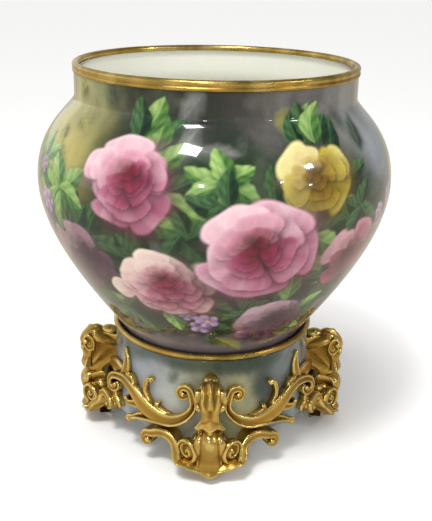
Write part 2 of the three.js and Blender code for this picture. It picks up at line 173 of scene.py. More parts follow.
def addWorld():
    world = bpy.data.worlds.new("softRoom")
    world.use_nodes = True
    bpy.context.scene.world = world
    tree = world.node_tree
    split = node(tree, "ShaderNodeSeparateXYZ")
    feed(tree, split.inputs[0], node(tree, "ShaderNodeTexCoord").outputs["Generated"])
    level = scaled(tree, split.outputs["Z"], studio["heights"], studio["levels"])
    mirrored = scaled(tree, split.outputs["Z"], studio["heights"], studio["mirroredLevels"])
    sides = scaled(tree, split.outputs["X"], (-1, 1), studio["mirroredSides"])
    seen = mixed(tree, glossyRays(tree), level, worked(tree, "MULTIPLY", mirrored, sides))
    feed(tree, tree.nodes["Background"].inputs["Color"], seen)


def addFloor():
    half = studio["floorSize"] / 2
    sheet = bpy.data.meshes.new("floor")
    corners = [(-half, -half, 0), (half, -half, 0), (half, half, 0), (-half, half, 0)]
    sheet.from_pydata(corners, [], [(0, 1, 2, 3)])
    material, tree, shader = newMaterial("paleFloor")
    seen = mixed(tree, glossyRays(tree), studio["floor"], studio["mirroredFloor"])
    feed(tree, shader.inputs["Base Color"], seen)
    shader.inputs["Roughness"].default_value = studio["floorRoughness"]
    shader.inputs["Specular IOR Level"].default_value = studio["floorGloss"]
    sheet.materials.append(material)
    floor = addObject("floor", sheet)


# Stand at start and face the target
def aimed(start, target):
    back = (start - target) / np.linalg.norm(start - target)
    right = np.cross([0, 0, 1], back)
    right /= np.linalg.norm(right)
    made = np.eye(4)
    made[:3] = np.column_stack([right, np.cross(back, right), back, start])
    return Matrix(made.tolist())


def addLamps():
    sun = bpy.data.lights.new("softSun", "SUN")
    sun.energy = studio["sunStrength"]
    sun.angle = math.radians(studio["sunAngle"])
    lamp = addObject("softSun", sun)
    lamp.visible_glossy = False
    lamp.matrix_world = aimed(np.array(studio["sunFrom"]), np.zeros(3))
    target = np.array(studio["aim"]) * millimetre
    for name, (turn, rise, distance, width, height, watts) in studio["windows"].items():
        data = bpy.data.lights.new(name, "AREA")
        data.shape = "RECTANGLE"
        data.size = width
        data.size_y = height
        data.energy = watts
        turn, rise = math.radians(turn), math.radians(rise)
        out = np.array([math.sin(turn) * math.cos(rise), -math.cos(turn) * math.cos(rise), math.sin(rise)])
        addObject(name, data).matrix_world = aimed(target + distance * out, target)


bpy.context.scene.view_settings.view_transform = "Standard"
addWorld()
addFloor()
addLamps()
print("camera and studio set")

# Smooth noise over space, for painting by hand

random = np.random.default_rng(4)
latticeSize = 33
lattice = random.random((latticeSize,) * 3)
finerFade = 0.55  # weight of each finer layer of a cloud against the one before
finerShift = 17.3  # how far each finer layer is shifted


def smoothNoise(points, size):
    cell = points / size
    whole = np.floor(cell).astype(int)
    part = cell - whole
    part = part * part * (3 - 2 * part)
    total = np.zeros(len(points))
    for corner in range(8):
        step = np.array([corner & 1, corner >> 1 & 1, corner >> 2 & 1])
        x, y, z = ((whole + step) % latticeSize).T
        total += np.prod(np.where(step == 1, part, 1 - part), axis=1) * lattice[x, y, z]
    return total


def cloud(points, size, layers=4):
    total, share = 0, 0
    for layer in range(layers):
        weight = finerFade ** layer
        total = total + weight * smoothNoise(points + finerShift * layer, size / 2 ** layer)
        share += weight
    return total / share


# Curves and shells. A shell is an array of points and one of faces with four corners.

def smoothCurve(stops, count):
    stops = np.array(stops, float)
    padded = np.vstack([2 * stops[0] - stops[1], stops, 2 * stops[-1] - stops[-2]])
    place = np.linspace(0, len(stops) - 1, count)
    first = np.minimum(place.astype(int), len(stops) - 2)
    t = (place - first)[:, None]
    a, b, c, d = (padded[first + k] for k in range(4))
    square, cube = 2 * a - 5 * b + 4 * c - d, 3 * b - a - 3 * c + d
    return 0.5 * (2 * b + (c - a) * t + square * t ** 2 + cube * t ** 3)


def bezier(points, count):
    a, b, c, d = (np.array(p, float) for p in points)
    t = np.linspace(0, 1, count)[:, None]
    return (1 - t) ** 3 * a + 3 * (1 - t) ** 2 * t * b + 3 * (1 - t) * t ** 2 * c + t ** 3 * d


# The same line with its points evenly spaced
def evened(line, count):
    along = np.concatenate([[0], np.cumsum(np.linalg.norm(np.diff(line, axis=0), axis=1))])
    wanted = np.linspace(0, along[-1], count)
    return np.stack([np.interp(wanted, along, line[:, k]) for k in range(line.shape[1])], axis=1)


def headings(line):
    ahead = np.gradient(line, axis=0)
    return ahead / np.maximum(np.linalg.norm(ahead, axis=1, keepdims=True), 1e-6)


# Places across a section from -1 to 1, closer together near its edges
def acrossShares(count):
    return -np.cos(np.linspace(0, math.pi, count))


# Skin a row of closed rings; the ends close with a fan unless the row itself closes
def loft(rings, closed=False):
    rows, count = rings.shape[:2]
    points = rings.reshape(-1, 3)
    k = np.arange(count)
    after = (k + 1) % count
    faces = []
    for row in range(rows if closed else rows - 1):
        low, high = row * count, (row + 1) % rows * count
        faces.append(np.stack([low + k, low + after, high + after, high + k], axis=1))
    if not closed:
        points = np.vstack([points, rings[0].mean(0), rings[-1].mean(0)])
        start, end = np.full(count, len(points) - 2), np.full(count, len(points) - 1)
        last = (rows - 1) * count
        faces.append(np.stack([start, after, k, k], axis=1))
        faces.append(np.stack([end, last + k, last + after, last + after], axis=1))
    return facingOut(points, np.vstack(faces))


def facingOut(points, faces):
    triangles = np.vstack([faces[:, [0, 1, 2]], faces[:, [0, 2, 3]]])
    a, b, c = (points[triangles[:, k]] for k in range(3))
    if np.einsum("ij,ij->i", a, np.cross(b, c)).sum() < 0:
        faces = faces[:, ::-1]
    return points, faces


def together(shells):
    points, faces, start = [], [], 0
    for shellPoints, shellFaces in shells:
        points.append(shellPoints)
        faces.append(shellFaces + start)
        start += len(shellPoints)
    return np.vstack(points), np.vstack(faces)


def ball(centre, radii, rows=14, count=20):
    tilt = np.linspace(0, math.pi, rows)[1:-1]
    turn = np.linspace(0, 2 * math.pi, count, endpoint=False)
    ring = [np.stack([np.sin(t) * np.cos(turn), np.sin(t) * np.sin(turn), np.full(count, np.cos(t))], axis=1)
            for t in tilt]
    return loft(np.array(centre) + np.array(ring) * np.array(radii))


# A mesh in Blender from points in millimetres; a face with a corner repeated has three corners
def meshFrom(name, points, faces):
    made = bpy.data.meshes.new(name)
    rows = []
    for face in faces.tolist():
        corners = list(dict.fromkeys(face))
        if len(corners) > 2:
            rows.append(corners)
    made.from_pydata((points * millimetre).tolist(), [], rows)
    made.shade_smooth()
    made.update()
    return made


def readOut(rows, name, width=1, kind=float):
    values = np.empty(len(rows) * width, kind)
    rows.foreach_get(name, values)
    return values.reshape(-1, width) if width > 1 else values


# Fuse overlapping closed shells into one skin, as slip fills the joints of pressed clay
def fused(shells, grain, smoothing):
    holder = addObject("fusing", meshFrom("fusing", *together(shells)))
    skin = holder.modifiers.new("skin", "REMESH")
    skin.mode = "VOXEL"
    skin.voxel_size = grain * millimetre
    soften = holder.modifiers.new("soften", "SMOOTH")
    soften.factor = 0.5
    soften.iterations = smoothing
    depsgraph = bpy.context.evaluated_depsgraph_get()
    mesh = bpy.data.meshes.new_from_object(holder.evaluated_get(depsgraph))
    bpy.data.objects.remove(holder)
    found = readOut(mesh.vertices, "co", 3)
    corners = readOut(mesh.loops, "vertex_index", kind=int)
    starts = readOut(mesh.polygons, "loop_start", kind=int)
    totals = readOut(mesh.polygons, "loop_total", kind=int)
    rows = np.stack([corners[starts + np.minimum(k, totals - 1)] for k in range(4)], axis=1)
    bpy.data.meshes.remove(mesh)
    return found / millimetre, rows


ridgeShadeAndWear = {"reach": 3, "gain": 2.2}  # steps along edges, and how sharply ridges and hollows part, for the painted shade in hollows and the painted highlight on ridges


# How far each point of a skin stands out from the points round it: 1 on ridges, 0 in hollows. The gilding is
# coloured by it: hollows get painted shade along with worn, darkened gilding, and ridges get a painted
# highlight
def ridgeShare(points, faces):
    mesh = meshFrom("measure", points, faces)
    normals = readOut(mesh.vertices, "normal", 3)
    edges = readOut(mesh.edges, "vertices", 2, int)
    bpy.data.meshes.remove(mesh)
    count = np.bincount(edges.ravel(), minlength=len(points))[:, None]

    def averaged(values):
        total = np.zeros_like(values)
        np.add.at(total, edges[:, 0], values[edges[:, 1]])
        np.add.at(total, edges[:, 1], values[edges[:, 0]])
        return total / np.maximum(count, 1)

    flat = points.copy()
    for _ in range(ridgeShadeAndWear["reach"] * 3):
        flat = 0.4 * flat + 0.6 * averaged(flat)
    stand = ((points - flat) * normals).sum(1, keepdims=True)
    for _ in range(ridgeShadeAndWear["reach"]):
        stand = 0.5 * stand + 0.5 * averaged(stand)
    return np.clip(0.5 + ridgeShadeAndWear["gain"] * stand[:, 0], 0, 1)


def addPiece(name, shape, material, body, replaced, ridge=None, paint=None):
    mesh = meshFrom(name, *shape)
    mesh.materials.append(material)
    if ridge is not None:
        layer = mesh.attributes.new("ridge", "FLOAT", "POINT")
        layer.data.foreach_set("value", ridge.astype(np.float32))
    if paint is not None:
        layer = mesh.color_attributes.new("paint", "FLOAT_COLOR", "POINT")
        colours = np.column_stack([paint, np.ones(len(paint))])
        layer.data.foreach_set("color", colours.ravel().astype(np.float32))
    piece = addObject(name, mesh)
    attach(piece, body)
    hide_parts(*replaced)


# Finishes

giltLook = {
    # deep is painted shade in hollows over darkened gilding; bright is a painted highlight on ridges
    "bright": tone(248, 222, 140),
    "warm": tone(196, 152, 70),
    "deep": tone(70, 36, 14),
    "olive": tone(150, 126, 56),
    "warmBand": (0.14, 0.48),  # share of ridge over which deep turns warm
    "brightBand": (0.46, 0.8),  # and warm turns bright
    "olivePatches": 0.45,
    "roughBand": (0.1, 0.7),
    "roughness": (0.46, 0.22),  # in hollows and on ridges
    "speckRoughness": 0.06,
    "mottle": (55, 320),
    "bumpDepth": 0.0005,  # metres
}
glazeLook = {
    "lightPatches": ((1.0, 1.0, 0.96), 0.14),
    "darkSpecks": ((0.2, 0.2, 0.22), 0.22),
    "patchRoughness": 0.05,
    "undercoatGloss": 0.12,
    "coat": {"Coat Weight": 1, "Coat IOR": 1.38, "Coat Roughness": 0.025},
    "mottle": (45, 420),
    "bump": 0.04,
    "bumpDepth": 0.002,  # metres
}


# Clouds of a second tone, fine specks and slight unevenness, shared by every fired surface
def buildMottle():
    group = bpy.data.node_groups.new("firedMottle", "ShaderNodeTree")
    for name, start in (("Scale", 60.0), ("Fine", 600.0)):
        socket = group.interface.new_socket(name=name, in_out="INPUT", socket_type="NodeSocketFloat")
        socket.default_value = start
    for name in ("Clouds", "Specks", "Height"):
        group.interface.new_socket(name=name, in_out="OUTPUT", socket_type="NodeSocketFloat")
    inside = group.nodes.new("NodeGroupInput")
    outside = group.nodes.new("NodeGroupOutput")
    place = node(group, "ShaderNodeTexCoord").outputs["Object"]
    found = {}
    for name in ("Scale", "Fine"):
        texture = node(group, "ShaderNodeTexNoise")
        feed(group, texture.inputs["Vector"], place)
        feed(group, texture.inputs["Scale"], inside.outputs[name])
        texture.inputs["Detail"].default_value = 3
        found[name] = texture.outputs["Fac"]
    feed(group, outside.inputs["Clouds"], scaled(group, found["Scale"], (0.35, 0.65)))
    feed(group, outside.inputs["Specks"], scaled(group, found["Fine"], (0.4, 0.7)))
    feed(group, outside.inputs["Height"], worked(group, "MULTIPLY_ADD", found["Fine"], 0.25, found["Scale"]))
    return group


mottle = buildMottle()


def placeMottle(tree, scale, fine):
    made = node(tree, "ShaderNodeGroup", node_tree=mottle)
    made.inputs["Scale"].default_value = scale
    made.inputs["Fine"].default_value = fine
    return made.outputs


def addBump(tree, shader, height, strength, depth):
    bump = node(tree, "ShaderNodeBump")
    bump.inputs["Strength"].default_value = strength
    bump.inputs["Distance"].default_value = depth
    feed(tree, bump.inputs["Height"], height)
    feed(tree, shader.inputs["Normal"], bump.outputs[0])


def giltMaterial(name, dullness, texture):
    material, tree, shader = newMaterial(name)
    look = giltLook
    surface = placeMottle(tree, *look["mottle"])
    ridge = node(tree, "ShaderNodeAttribute", attribute_name="ridge").outputs["Fac"]
    # Painted shade in hollows and painted highlight on ridges, from the ridge attribute
    colour = mixed(tree, scaled(tree, ridge, look["warmBand"]), look["deep"], look["warm"])
    colour = mixed(tree, scaled(tree, ridge, look["brightBand"]), colour, look["bright"])
    patches = scaled(tree, surface["Clouds"], (0, 1), (0, look["olivePatches"] + dullness))
    feed(tree, shader.inputs["Base Color"], mixed(tree, patches, colour, look["olive"]))
    shader.inputs["Metallic"].default_value = 1
    rough = scaled(tree, ridge, look["roughBand"], look["roughness"])
    rough = worked(tree, "MULTIPLY_ADD", surface["Specks"], look["speckRoughness"], rough)
    feed(tree, shader.inputs["Roughness"], rough)
    addBump(tree, shader, surface["Height"], texture, look["bumpDepth"])
    return material


def glazeMaterial(name, roughness):
    material, tree, shader = newMaterial(name)
    look = glazeLook
    surface = placeMottle(tree, *look["mottle"])
    colour = node(tree, "ShaderNodeAttribute", attribute_name="paint").outputs["Color"]
    for mask, label in (("Clouds", "lightPatches"), ("Specks", "darkSpecks")):
        second, share = look[label]
        colour = mixed(tree, scaled(tree, surface[mask], (0, 1), (0, share)), colour, second, "SOFT_LIGHT")
    feed(tree, shader.inputs["Base Color"], colour)
    rough = scaled(tree, surface["Clouds"], (0, 1), (roughness, roughness + look["patchRoughness"]))
    feed(tree, shader.inputs["Roughness"], rough)
    shader.inputs["Specular IOR Level"].default_value = look["undercoatGloss"]
    for label, value in look["coat"].items():
        shader.inputs[label].default_value = value
    addBump(tree, shader, surface["Height"], look["bump"], look["bumpDepth"])
    return material


gilt = giltMaterial("burnishedGilt", 0.0, 0.07)
rimGilt = giltMaterial("rubbedRimGilt", 0.3, 0.02)
bowlGlaze = glazeMaterial("paintedBowlGlaze", 0.16)
standGlaze = glazeMaterial("cloudedStandGlaze", 0.18)
print("finishes made")

# The bowl

bowl = {
    "seat": 80.3,
    "rimTop": 331.6,
    "footRadius": 62.0,
    "footHeight": 86.0,
    "heelPull": ((74.1, 88.0), (79.6, 96.0)),
    "ringPoint": (82.5, 101.0),
    "lowerPull": ((96.1, 124.0), (150.4, 185.0)),
    "belly": (150.4, 235.9),
    "upperPull": ((150.4, 271.3), (130.9, 286.7)),
    "shoulder": (120.5, 299.0),
    "neckRadius": 117.6,
    "neckTop": 326.6,
    "wall": 4.2,
    "floor": 93.0,
    "floorSweep": (4.5, (5, 12, 20)),  # how far down and in the inside turns from wall to floor
    "footWidth": 6.0,
    "footBevel": 1.2,
    "around": 840,
    "rows": 270,
    "insideAround": 140,
    "insideRows": 44,
}


def bowlProfile():
    foot = (bowl["footRadius"], bowl["footHeight"])
    heel = bezier([foot, *bowl["heelPull"], bowl["ringPoint"]], 24)
    lower = bezier([bowl["ringPoint"], *bowl["lowerPull"], bowl["belly"]], 80)
    upper = bezier([bowl["belly"], *bowl["upperPull"], bowl["shoulder"]], 60)
    (edge, height), neck = bowl["shoulder"], bowl["neckRadius"]
    fillet = [(edge, height), (edge - 1.8, height + 2.4), (neck, height + 3.6), (neck, height + 7)]
    return np.vstack([heel, lower[1:], upper[1:], bezier(fillet, 12)[1:], [[neck, bowl["neckTop"]]]])


def insideProfile(profile):
    along = headings(profile)
    inner = profile + bowl["wall"] * np.stack([-along[:, 1], along[:, 0]], axis=1)
    inner = evened(inner[inner[:, 1] > bowl["floor"] + 4][::-1], bowl["insideRows"])
    low, floor = inner[-1], bowl["floor"]
    drop, (near, middle, far) = bowl["floorSweep"]
    turnIn = [low, (low[0] - near, low[1] - drop), (low[0] - middle, floor), (low[0] - far, floor)]
    return np.vstack([inner, bezier(turnIn, 8)[1:], [[low[0] * 0.4, floor], [0.5, floor]]])


def underProfile():
    seat, foot, bevel, base = bowl["seat"], bowl["footRadius"], bowl["footBevel"], bowl["footHeight"]
    back = foot - bowl["footWidth"]
    return np.array([[foot, seat + bevel], [foot - bevel, seat], [back + 1, seat], [back, seat + 1],
                     [back, base], [foot * 0.4, base], [0.5, base]])


def lathe(profile, around):
    turn = np.linspace(0, 2 * math.pi, around, endpoint=False)
    rows = [np.stack([r * np.sin(turn), -r * np.cos(turn), np.full(around, z)], axis=1) for r, z in profile]
    return np.array(rows)


def closedLathe(outline, around):
    return loft(lathe(outline, around).transpose(1, 0, 2), True)


def gridFaces(rows, around, start=0):
    row, k = np.meshgrid(np.arange(rows - 1), np.arange(around), indexing="ij")
    low, high, after = start + row * around, start + (row + 1) * around, (k + 1) % around
    return np.stack([low + k, low + after, high + after, high + k], axis=-1).reshape(-1, 4)


# Join two rings whose counts differ: the fine one has a whole number of steps to each coarse one
def stitchFaces(fineStart, fineCount, coarseStart, coarseCount):
    share = fineCount // coarseCount
    faces = []
    for k in range(coarseCount):
        here, after = coarseStart + k, coarseStart + (k + 1) % coarseCount
        middle = k * share + share // 2
        for step in range(share):
            a = fineStart + (k * share + step) % fineCount
            b = fineStart + (k * share + step + 1) % fineCount
            corner = here if k * share + step < middle else after
            faces.append([b, a, corner, corner])
        faces.append([fineStart + middle, here, after, after])
    return np.array(faces)


# The outside is fine enough to carry the painting; the inside and the foot are coarser
def buildBowlShape():
    profile = bowlProfile()
    outer, inside, under = evened(profile, bowl["rows"]), insideProfile(profile), underProfile()
    fine, coarse = bowl["around"], bowl["insideAround"]
    parts = [lathe(outer, fine), lathe(inside, coarse), lathe(under, coarse)]
    middles = np.array([[0, 0, bowl["floor"]], [0, 0, bowl["footHeight"]]])
    points = np.vstack([part.reshape(-1, 3) for part in parts] + [middles])
    startIn = len(outer) * fine
    startUnder = startIn + len(inside) * coarse
    tip, base = len(points) - 2, len(points) - 1
    k = np.arange(coarse)
    after = (k + 1) % coarse
    lastIn, lastUnder = startUnder - coarse, tip - coarse
    faces = [
        gridFaces(len(outer), fine),
        gridFaces(len(inside), coarse, startIn),
        gridFaces(len(under), coarse, startUnder)[:, ::-1],
        stitchFaces((len(outer) - 1) * fine, fine, startIn, coarse),
        stitchFaces(0, fine, startUnder, coarse)[:, ::-1],
        np.stack([lastIn + k, lastIn + after, np.full(coarse, tip), np.full(coarse, tip)], axis=1),
        np.stack([lastUnder + after, lastUnder + k, np.full(coarse, base), np.full(coarse, base)], axis=1),
    ]
    return points, np.vstack(faces), startIn, outer


# Degrees from one place round the pot to others, the short way
def degreesFrom(start, turn):
    return (turn - start + 180) % 360 - 180


# A painted surface: every point has a place round the pot in degrees and up its side in millimetres
class Canvas:
    def __init__(self, points):
        self.points = points
        self.turn = np.degrees(np.arctan2(points[:, 0], -points[:, 1]))
        self.height = points[:, 2].copy()
        self.radius = np.hypot(points[:, 0], points[:, 1])
        self.colours = np.zeros((len(points), 3))

    def near(self, turn, height, reach):
        across = np.radians(degreesFrom(turn, self.turn)) * self.radius
        up = self.height - height
        index = np.nonzero((np.abs(across) < reach) & (np.abs(up) < reach))[0]
        return index, across[index], up[index]

    def lay(self, index, colours, share):
        share = np.clip(share, 0, 1)[:, None]
        self.colours[index] = self.colours[index] * (1 - share) + colours * share

    # Colour from soft clouds, given as rows of turn, height, spread round, spread up, red, green, blue
    def clouded(self, rows, wander, size):
        total, weight = 0, 0
        shift = wander * (cloud(self.points, size) - 0.5)
        for turn, height, wide, tall, *colour in rows:
            away, up = degreesFrom(turn, self.turn) + shift, self.height - height + shift
            share = np.exp(-(away / wide) ** 2 - (up / tall) ** 2) + 1e-6
            total = total + share[:, None] * np.array(tone(*colour))
            weight = weight + share
        return total / weight[:, None]


def blendTones(share, tones):
    place = np.clip(share, 0, 1) * (len(tones) - 1)
    first = np.minimum(place.astype(int), len(tones) - 2)
    part = (place - first)[:, None]
    table = np.array(tones)
    return table[first] * (1 - part) + table[first + 1] * part


def softStep(values, low, high):
    t = np.clip((values - low) / (high - low), 0, 1)
    return t * t * (3 - 2 * t)


# Streaks that run along a petal or leaf, from its place along and across
def strokes(t, s, seed):
    return smoothNoise(np.stack([6 * s + seed, 1.7 * t + seed, np.full(len(t), seed)], axis=1), 1.0) - 0.5


handLight = np.array([-0.55, 0.83])  # where the painted light comes from, across and up
petalLight = np.array(tone(236, 222, 208))
goldenHeart = np.array(tone(214, 190, 90))
petal = {
    "root": 0.4,  # width of the root against the widest part
    "squareness": 2.4,  # 2 gives an ellipse
    "waves": 3.6,
    "depth": 0.42,  # depth inside the edge at the middle, as a share of the shorter side
    "shadowTone": 0.3,
    "shadowShare": 0.8,
    "shadowReach": (1.4, 0.07),  # and how much more for each millimetre of length
    "folds": 0.35,
    "rimInset": 1.1,
    "rimWidth": 0.9,
    "rimTone": 1.08,
    "rimLight": (0.26, 0.3, 0.8),  # least, how much the light adds, most
    "sideLight": 0.2,
    "tipLight": (0.5, 0.52, 0.75, 0.35),  # strength, place along, share without and with the light
    "strokes": 0.34,
    "foldLight": (0.2, 0.3),  # strength and width
    "foldShade": (0.14, 0.22, 0.5),  # strength, width and how far beside the fold
}
bloom = {
    "reach": 1.5,  # against its size, as are the next two
    "shade": 1.12,
    "heart": 0.12,
    "squash": 0.93,
    "shadeTone": 0.8,
    "shadeShare": 0.75,
    "heartShare": 0.7,
    "wobble": 0.09,
    "twist": 2.1,
    "paleShare": 0.6,
    "darkShare": 0.5,
}
leaf = {
    "bend": (0.1, 2.4),  # how far its middle sways, as a share of its length, and how fast
    "shadowTone": 0.5,
    "shadowShare": 0.3,
    "shadowReach": 2.2,
    "teeth": (0.35, 24),  # depth and closeness
    "veins": (0.1, 20, 0.35),  # strength, closeness and slant
    "ribWidth": 0.8,
    "ribShare": 0.5,
    "ribEnd": 0.94,
    "outline": (0.82, 0.85),  # how far its widest place is from the root, and how blunt its ends are
    "sideLight": (0.3, 5),  # strength and how sharply the rib parts light and shade
    "strokes": 0.3,
    "tipLight": 0.16,
    "value": 0.44,
}


# Broad petal with a narrow root and a rounded, wavy tip: place along it, across it and depth inside its edge
def petalShape(x, y, root, angle, length, width, wave, phase):
    cos, sin = math.cos(angle), math.sin(angle)
    t = ((x - root[0]) * cos + (y - root[1]) * sin) / length
    widest = petal["root"] + (1 - petal["root"]) * softStep(t, -0.1, 0.8)
    s = (-(x - root[0]) * sin + (y - root[1]) * cos) / (width / 2) / widest
    tip = 1 + wave * np.sin(petal["waves"] * s + phase) * softStep(t, 0.3, 1)
    power = petal["squareness"]
    far = (np.abs((2 * t - 1) / tip) ** power + np.abs(s) ** power) ** (1 / power)
    return t, s, (1 - far) * petal["depth"] * min(length, width)


def layPetal(canvas, spot, root, angle, length, width, tones, wave=0.06, softness=1.7):
    index, x, y = spot
    seed, fold = random.uniform(3, 20), random.uniform(-petal["folds"], petal["folds"])
    t, s, inside = petalShape(x, y, root, angle, length, width, wave, seed)
    ahead = np.array([math.cos(angle), math.sin(angle)])
    lean = np.array([-ahead[1], ahead[0]]) @ handLight
    lift = ahead @ handLight
    middle = np.array(root) + 0.5 * length * ahead
    away = -((x - middle[0]) * handLight[0] + (y - middle[1]) * handLight[1]) / (0.5 * length)
    near, more = petal["shadowReach"]
    fall = np.exp(np.clip(inside, None, 0) / (near + more * length)) * (inside < 0)
    canvas.lay(index, tones[0] * petal["shadowTone"], petal["shadowShare"] * fall * softStep(away, -0.6, 0.7))
    strength, start, plain, more = petal["tipLight"]
    value = 0.5 + petal["sideLight"] * np.clip(s, -1.2, 1.2) * lean
    value += strength * (t - start) * (plain + more * lift) + petal["strokes"] * strokes(t, s, seed)
    strength, wide = petal["foldLight"]
    value += strength * np.exp(-((s - fold) / wide) ** 2) * softStep(t, 0.1, 0.7)
    strength, wide, beside = petal["foldShade"]
    value -= strength * np.exp(-((s - fold - beside) / wide) ** 2)
    colours = blendTones(value, tones)
    rim = np.exp(-((inside - petal["rimInset"]) / petal["rimWidth"]) ** 2) * softStep(t, 0.35, 0.8)
    least, more, most = petal["rimLight"]
    rim = np.clip(rim * (least + more * (lift + s * lean)), 0, most)[:, None]
    colours = colours + (tones[-1] * petal["rimTone"] - colours) * rim
    canvas.lay(index, np.clip(colours, 0, 1), inside / softness + 0.4)


# Whorls of petals from the outside in, each whorl deeper in colour and set nearer the side the bloom faces
def paintBloom(canvas, turn, height, size, tones, heart, whorls, spin, facing):
    index, x, y = canvas.near(turn, height, bloom["reach"] * size)
    y = y / bloom["squash"]
    shade = np.exp(-(np.hypot(x, y) / (bloom["shade"] * size)) ** 4)
    canvas.lay(index, leafTones["deep"][0] * bloom["shadeTone"], bloom["shadeShare"] * shade)
    inner = np.array(facing) * size
    pale = 0.45 * petalLight + 0.55 * tones[0]
    for count, reach, length, width, depth in whorls:
        centre = inner * (1 - reach / 0.7)
        for k in range(count):
            wobble = random.normal(0, bloom["wobble"], 3)
            angle = spin + 2 * math.pi * (k + wobble[0]) / count + bloom["twist"] * reach
            ahead = np.array([math.cos(angle), math.sin(angle)])
            root = centre + (reach - length * 0.5) * size * (1 + 0.6 * wobble[2]) * ahead
            lit = 0.5 + 0.5 * ahead @ handLight
            band = [tones[min(j + depth, len(tones) - 1)] for j in (2, 1, 0)]
            glow = bloom["paleShare"] * lit ** 2 * min(1.0, reach / 0.5)
            dusk = bloom["darkShare"] * (1 - lit) ** 1.5
            band = [part + (pale - part) * glow for part in band]
            band = [part + (tones[4] - part) * dusk for part in band]
            layPetal(canvas, (index, x, y), root, angle + 1.6 * wobble[1], length * size * (1 + wobble[2]),
                     width * size * (1 + wobble[1]), band)
    away = np.hypot(x - inner[0], y - inner[1]) / (bloom["heart"] * size)
    canvas.lay(index, heart, bloom["heartShare"] * np.exp(-away ** 2))


# Whorls as rows of petals, distance out, length, width and how deep in the bloom's tones
peonyWhorls = ((5, 0.68, 0.72, 1.06, 0), (5, 0.52, 0.64, 0.9, 0), (4, 0.37, 0.56, 0.76, 1),
               (4, 0.26, 0.44, 0.56, 2), (4, 0.17, 0.32, 0.38, 3), (3, 0.09, 0.22, 0.24, 4))
openWhorls = ((4, 0.66, 0.8, 1.16, 0), (4, 0.48, 0.68, 0.96, 1), (4, 0.32, 0.5, 0.66, 2),
              (3, 0.19, 0.36, 0.44, 3), (3, 0.09, 0.22, 0.26, 4))
fullWhorls = ((8, 0.7, 0.56, 0.66, 0), (8, 0.58, 0.54, 0.6, 1), (7, 0.45, 0.48, 0.52, 1),
              (6, 0.33, 0.42, 0.44, 2), (6, 0.22, 0.34, 0.34, 3), (5, 0.12, 0.24, 0.24, 4))

# Tones of a bloom run from its palest outer petals to its heart
pink = toneRow((226, 184, 196), (202, 134, 160), (178, 92, 124), (150, 58, 90), (122, 32, 56), (94, 16, 34),
               (70, 10, 22))
cream = toneRow((228, 214, 190), (216, 178, 174), (196, 136, 150), (168, 92, 116), (140, 54, 78),
                (108, 28, 46), (80, 16, 28))
crimson = toneRow((178, 104, 130), (150, 62, 92), (128, 38, 66), (112, 26, 52), (88, 16, 36), (64, 10, 24),
                  (48, 8, 18))
yellow = toneRow((216, 206, 120), (200, 182, 66), (180, 154, 38), (144, 114, 32), (112, 84, 26), (86, 60, 20),
                 (68, 44, 16))
mauve = toneRow((142, 92, 120), (114, 64, 94), (92, 44, 72), (76, 32, 56), (60, 24, 44), (50, 18, 36),
                (38, 12, 26))
lilac = toneRow((190, 168, 192), (160, 130, 166), (132, 100, 140), (102, 72, 110))

blooms = [
    # turn round the pot, height, size, tones, heart, whorls, spin, facing
    (-27, 260, 37, pink, pink[5], peonyWhorls, 0.3, (0.12, 0.28)),
    (31, 263, 33, yellow, yellow[5], openWhorls, 0.9, (-0.1, 0.22)),
    (-48, 194, 34, mauve, crimson[5], openWhorls, 1.7, (0.2, 0.2)),
    (48, 198, 31, crimson, crimson[5], openWhorls, 2.9, (-0.2, 0.14)),
    (-17, 180, 40, cream, crimson[5], fullWhorls, 0.4, (0.06, 0.26)),
    (13, 209, 47, pink, crimson[5], peonyWhorls, 2.2, (-0.08, 0.3)),
    (24, 143, 30, mauve, mauve[5], fullWhorls, 1.1, (0.05, 0.24)),
    (-90, 232, 38, pink, pink[5], openWhorls, 0.2, (0.1, 0.2)),
    (86, 232, 38, crimson, crimson[5], peonyWhorls, 2.0, (-0.1, 0.2)),
    (-76, 160, 31, mauve, mauve[5], fullWhorls, 1.3, (0.1, 0.2)),
    (80, 158, 32, cream, cream[5], openWhorls, 0.6, (-0.1, 0.2)),
    (122, 222, 46, cream, pink[5], peonyWhorls, 1.5, (0.0, 0.26)),
    (-128, 214, 46, pink, crimson[4], peonyWhorls, 2.6, (0.05, 0.26)),
    (158, 254, 37, yellow, yellow[5], openWhorls, 0.1, (0.1, 0.2)),
    (-162, 248, 38, cream, cream[5], openWhorls, 2.2, (0.0, 0.24)),
    (172, 190, 42, crimson, crimson[5], peonyWhorls, 1.0, (-0.05, 0.24)),
    (-162, 152, 31, mauve, mauve[5], fullWhorls, 0.7, (0.05, 0.24)),
    (134, 156, 33, pink, pink[5], fullWhorls, 1.9, (0.0, 0.24)),
    (-110, 148, 30, cream, cream[5], openWhorls, 1.2, (0.1, 0.2)),
]

# Sprays of leaves that fan out from one point: turn, height, count, length, tones
sprays = [
    (-66, 258, 7, 34, "fresh"), (-52, 244, 6, 34, "fresh"), (3, 262, 6, 30, "fresh"),
    (4, 248, 5, 34, "deep"), (-8, 226, 4, 30, "deep"), (-34, 150, 5, 34, "deep"),
    (48, 238, 4, 28, "deep"), (58, 168, 4, 30, "dusk"), (12, 158, 4, 26, "deep"),
    (96, 262, 6, 32, "fresh"), (-104, 264, 6, 32, "fresh"), (132, 260, 5, 30, "deep"),
    (-140, 262, 6, 30, "fresh"), (176, 226, 6, 32, "deep"), (150, 206, 5, 30, "fresh"),
    (-150, 196, 5, 30, "deep"),
]

